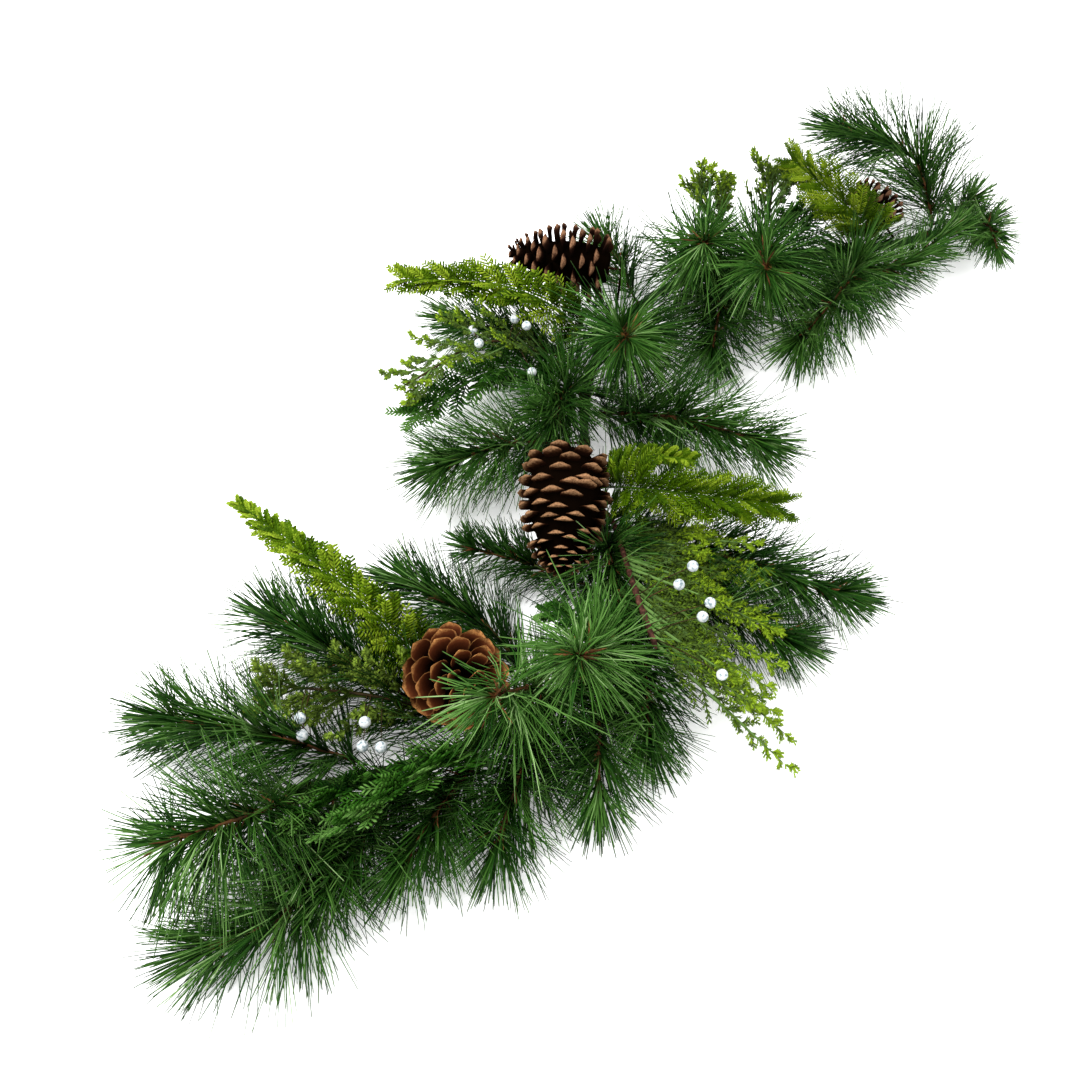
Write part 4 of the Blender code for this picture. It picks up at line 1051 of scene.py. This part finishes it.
def leaf_look(name, stops, tip_gain, tip_from=0.0):
    """Moulded plastic foliage, lighter towards the tips of its pick and of each leaf."""
    look = Look(name)
    shade = look.sum(look.tone, look.mottle(30, -0.12, 0.12))
    shade = look.sum(shade, look.level(look.along, 0.0, 1.0, -0.08, 0.08))
    shade = look.sum(shade, look.level(look.reach, tip_from, 1.0, -0.3 * tip_gain, 0.7 * tip_gain))
    return look.finish(look.ramp(shade, stops), look.mottle(90, 0.42, 0.62), look.noise(800), 0.3, 0.0002)


def patchy_look(name, scale, detail, stops, rough, bump, *bump_size):
    """A surface whose colours follow a noise alone."""
    look = Look(name)
    return look.finish(look.ramp(look.noise(scale, detail), stops), look.mottle(*rough), look.noise(bump),
                       *bump_size)


def cone_look(name, inner, rim, end, painted_shade_to=0.55, rim_from=0.78, edge=0.0, rough_by=0.35):
    """Cone scales: painted shade inside, lighter at the thick end, a painted edge highlight, a worn tip."""
    look = Look(name)
    grain = look.mottle(320, -0.16, 0.16, 5.0)
    place = look.sum(look.along, look.sum(grain, rough_by, "MULTIPLY"))
    # Up to the second stop the scales are near black: painted shade where they overlap and hide each
    # other's roots.
    color = look.ramp(place, (
        (0.0, (0.004, 0.002, 0.001)), (painted_shade_to, (0.006, 0.003, 0.002)), (rim_from, inner),
        (rim_from + 0.1, rim), (rim_from + 0.18, end),
    ))
    # Painted highlight: towards its end, each scale's edge takes the light end colour, like a lit rim.
    painted_edge_highlight = look.level(look.along, 0.55, 0.8)
    painted_edge_highlight = look.sum(painted_edge_highlight, look.level(look.reach, 0.88, 1.0, 0.0, edge), "MULTIPLY")
    color = look.mix(painted_edge_highlight, color, end)
    worn = look.level(look.along, rim_from + 0.08, rim_from + 0.14)
    worn = look.sum(worn, look.level(look.noise(700, 3.0), 0.45, 0.62, 0.0, 0.6), "MULTIPLY")
    color = look.mix(worn, color, rim)
    tint = look.node("VectorMath")
    tint.operation = "SCALE"
    look.feed(tint, {0: color, "Scale": look.level(look.tone, 0.1, 0.9, 0.58, 1.35)})
    rough = look.level(grain, -0.16, 0.16, 0.55, 0.8)
    return look.finish(tint.outputs[0], rough, grain, 0.5, 0.0005, 0.0)


def set_floor():
    """A pale matt floor."""
    far = FLOOR_REACH
    mesh = bpy.data.meshes.new("floor")
    mesh.from_pydata([(-far, -far, 0), (far, -far, 0), (far, far, 0), (-far, far, 0)], [], [(0, 1, 2, 3)])
    floor = add_object("floor", mesh)
    look = Look("floor_white")
    look.feed(look.shader, {"Base Color": (FLOOR_WHITE, FLOOR_WHITE, FLOOR_WHITE), "Roughness": 0.9,
                            "Emission Color": (1.0, 1.0, 1.0), "Emission Strength": FLOOR_GLOW})
    mesh.materials.append(look.material)


def set_lights():
    """White light from all round, and two soft lamps that point at the garland."""
    world = bpy.data.worlds.new("studio")
    world.use_nodes = True
    sky = world.node_tree.nodes["Background"]
    sky.inputs["Color"].default_value = (1.0, 1.0, 1.0, 1.0)
    sky.inputs["Strength"].default_value = SKY_LIGHT
    bpy.context.scene.world = world
    for name, place, size, power in LAMPS:
        light = bpy.data.lights.new(name, "AREA")
        light.energy = power
        light.size = size
        lamp = add_object(name, light)
        lamp.location = place
        lamp.rotation_euler = Vector(place).to_track_quat("Z", "Y").to_euler()


def set_camera():
    """The photograph's camera."""
    lens = bpy.data.cameras.new("camera")
    lens.sensor_width = 36
    lens.lens = CAMERA_LENS
    camera = add_object("camera", lens)
    camera.location = CAMERA_PLACE
    camera.rotation_euler = Vector(CAMERA_LOOK).to_track_quat("-Z", "Y").to_euler()
    bpy.context.scene.camera = camera


def random_draws():
    """A new source of random draws for each pick in turn."""
    seed = SEED
    while True:
        seed += 1
        yield np.random.default_rng(seed)


def main():
    stem = stem_look()
    berry = patchy_look("berry_white", 420, 4.0, BERRY_STOPS, (300, 0.45, 0.7), 500, 0.3, 0.0003)
    bark = patchy_look("bark_red_brown", 260, 4.0, BARK_STOPS, (200, 0.55, 0.8), 600, 0.6)
    tape = patchy_look("vine_tape", 150, 2.0, TAPE_STOPS, (90, 0.6, 0.85), 500, 0.4)
    needles = needle_look()
    lime = leaf_look("cedar_lime_leaf", LIME_LEAF, 0.25)
    dark = leaf_look("cedar_green_leaf", DARK_LEAF, 0.2)
    olive = leaf_look("juniper_leaf", OLIVE_LEAF, 0.55, 0.55)
    shady = leaf_look("juniper_shady_leaf", SHADY_LEAF, 0.35, 0.55)

    vine = vine_route()
    wrapped_vine(vine, tape)
    draws = random_draws()
    for row in PINES:
        pine(*row, vine, next(draws), [needles, stem])
    for picks, leaf, record_slot in ((LIME_CEDARS, lime, "cedar_lime"), (DARK_CEDARS, dark, "cedar_green")):
        for row in picks:
            cedar(*row, vine, next(draws), [leaf, stem], record_slot)
    for row in JUNIPERS:
        leaf = shady if row[0] in SHADY_JUNIPERS else olive
        juniper(*row, vine, next(draws), [leaf, stem, berry])
    fan(vine, np.random.default_rng(FAN_SEED), [olive, stem, berry, bark])
    for row in CONES:
        cone(*row, vine, next(draws), cone_look(*CONE_LOOKS[row[0]]))

    bpy.context.scene.view_settings.view_transform = "Standard"
    set_floor()
    set_lights()
    set_camera()


main()
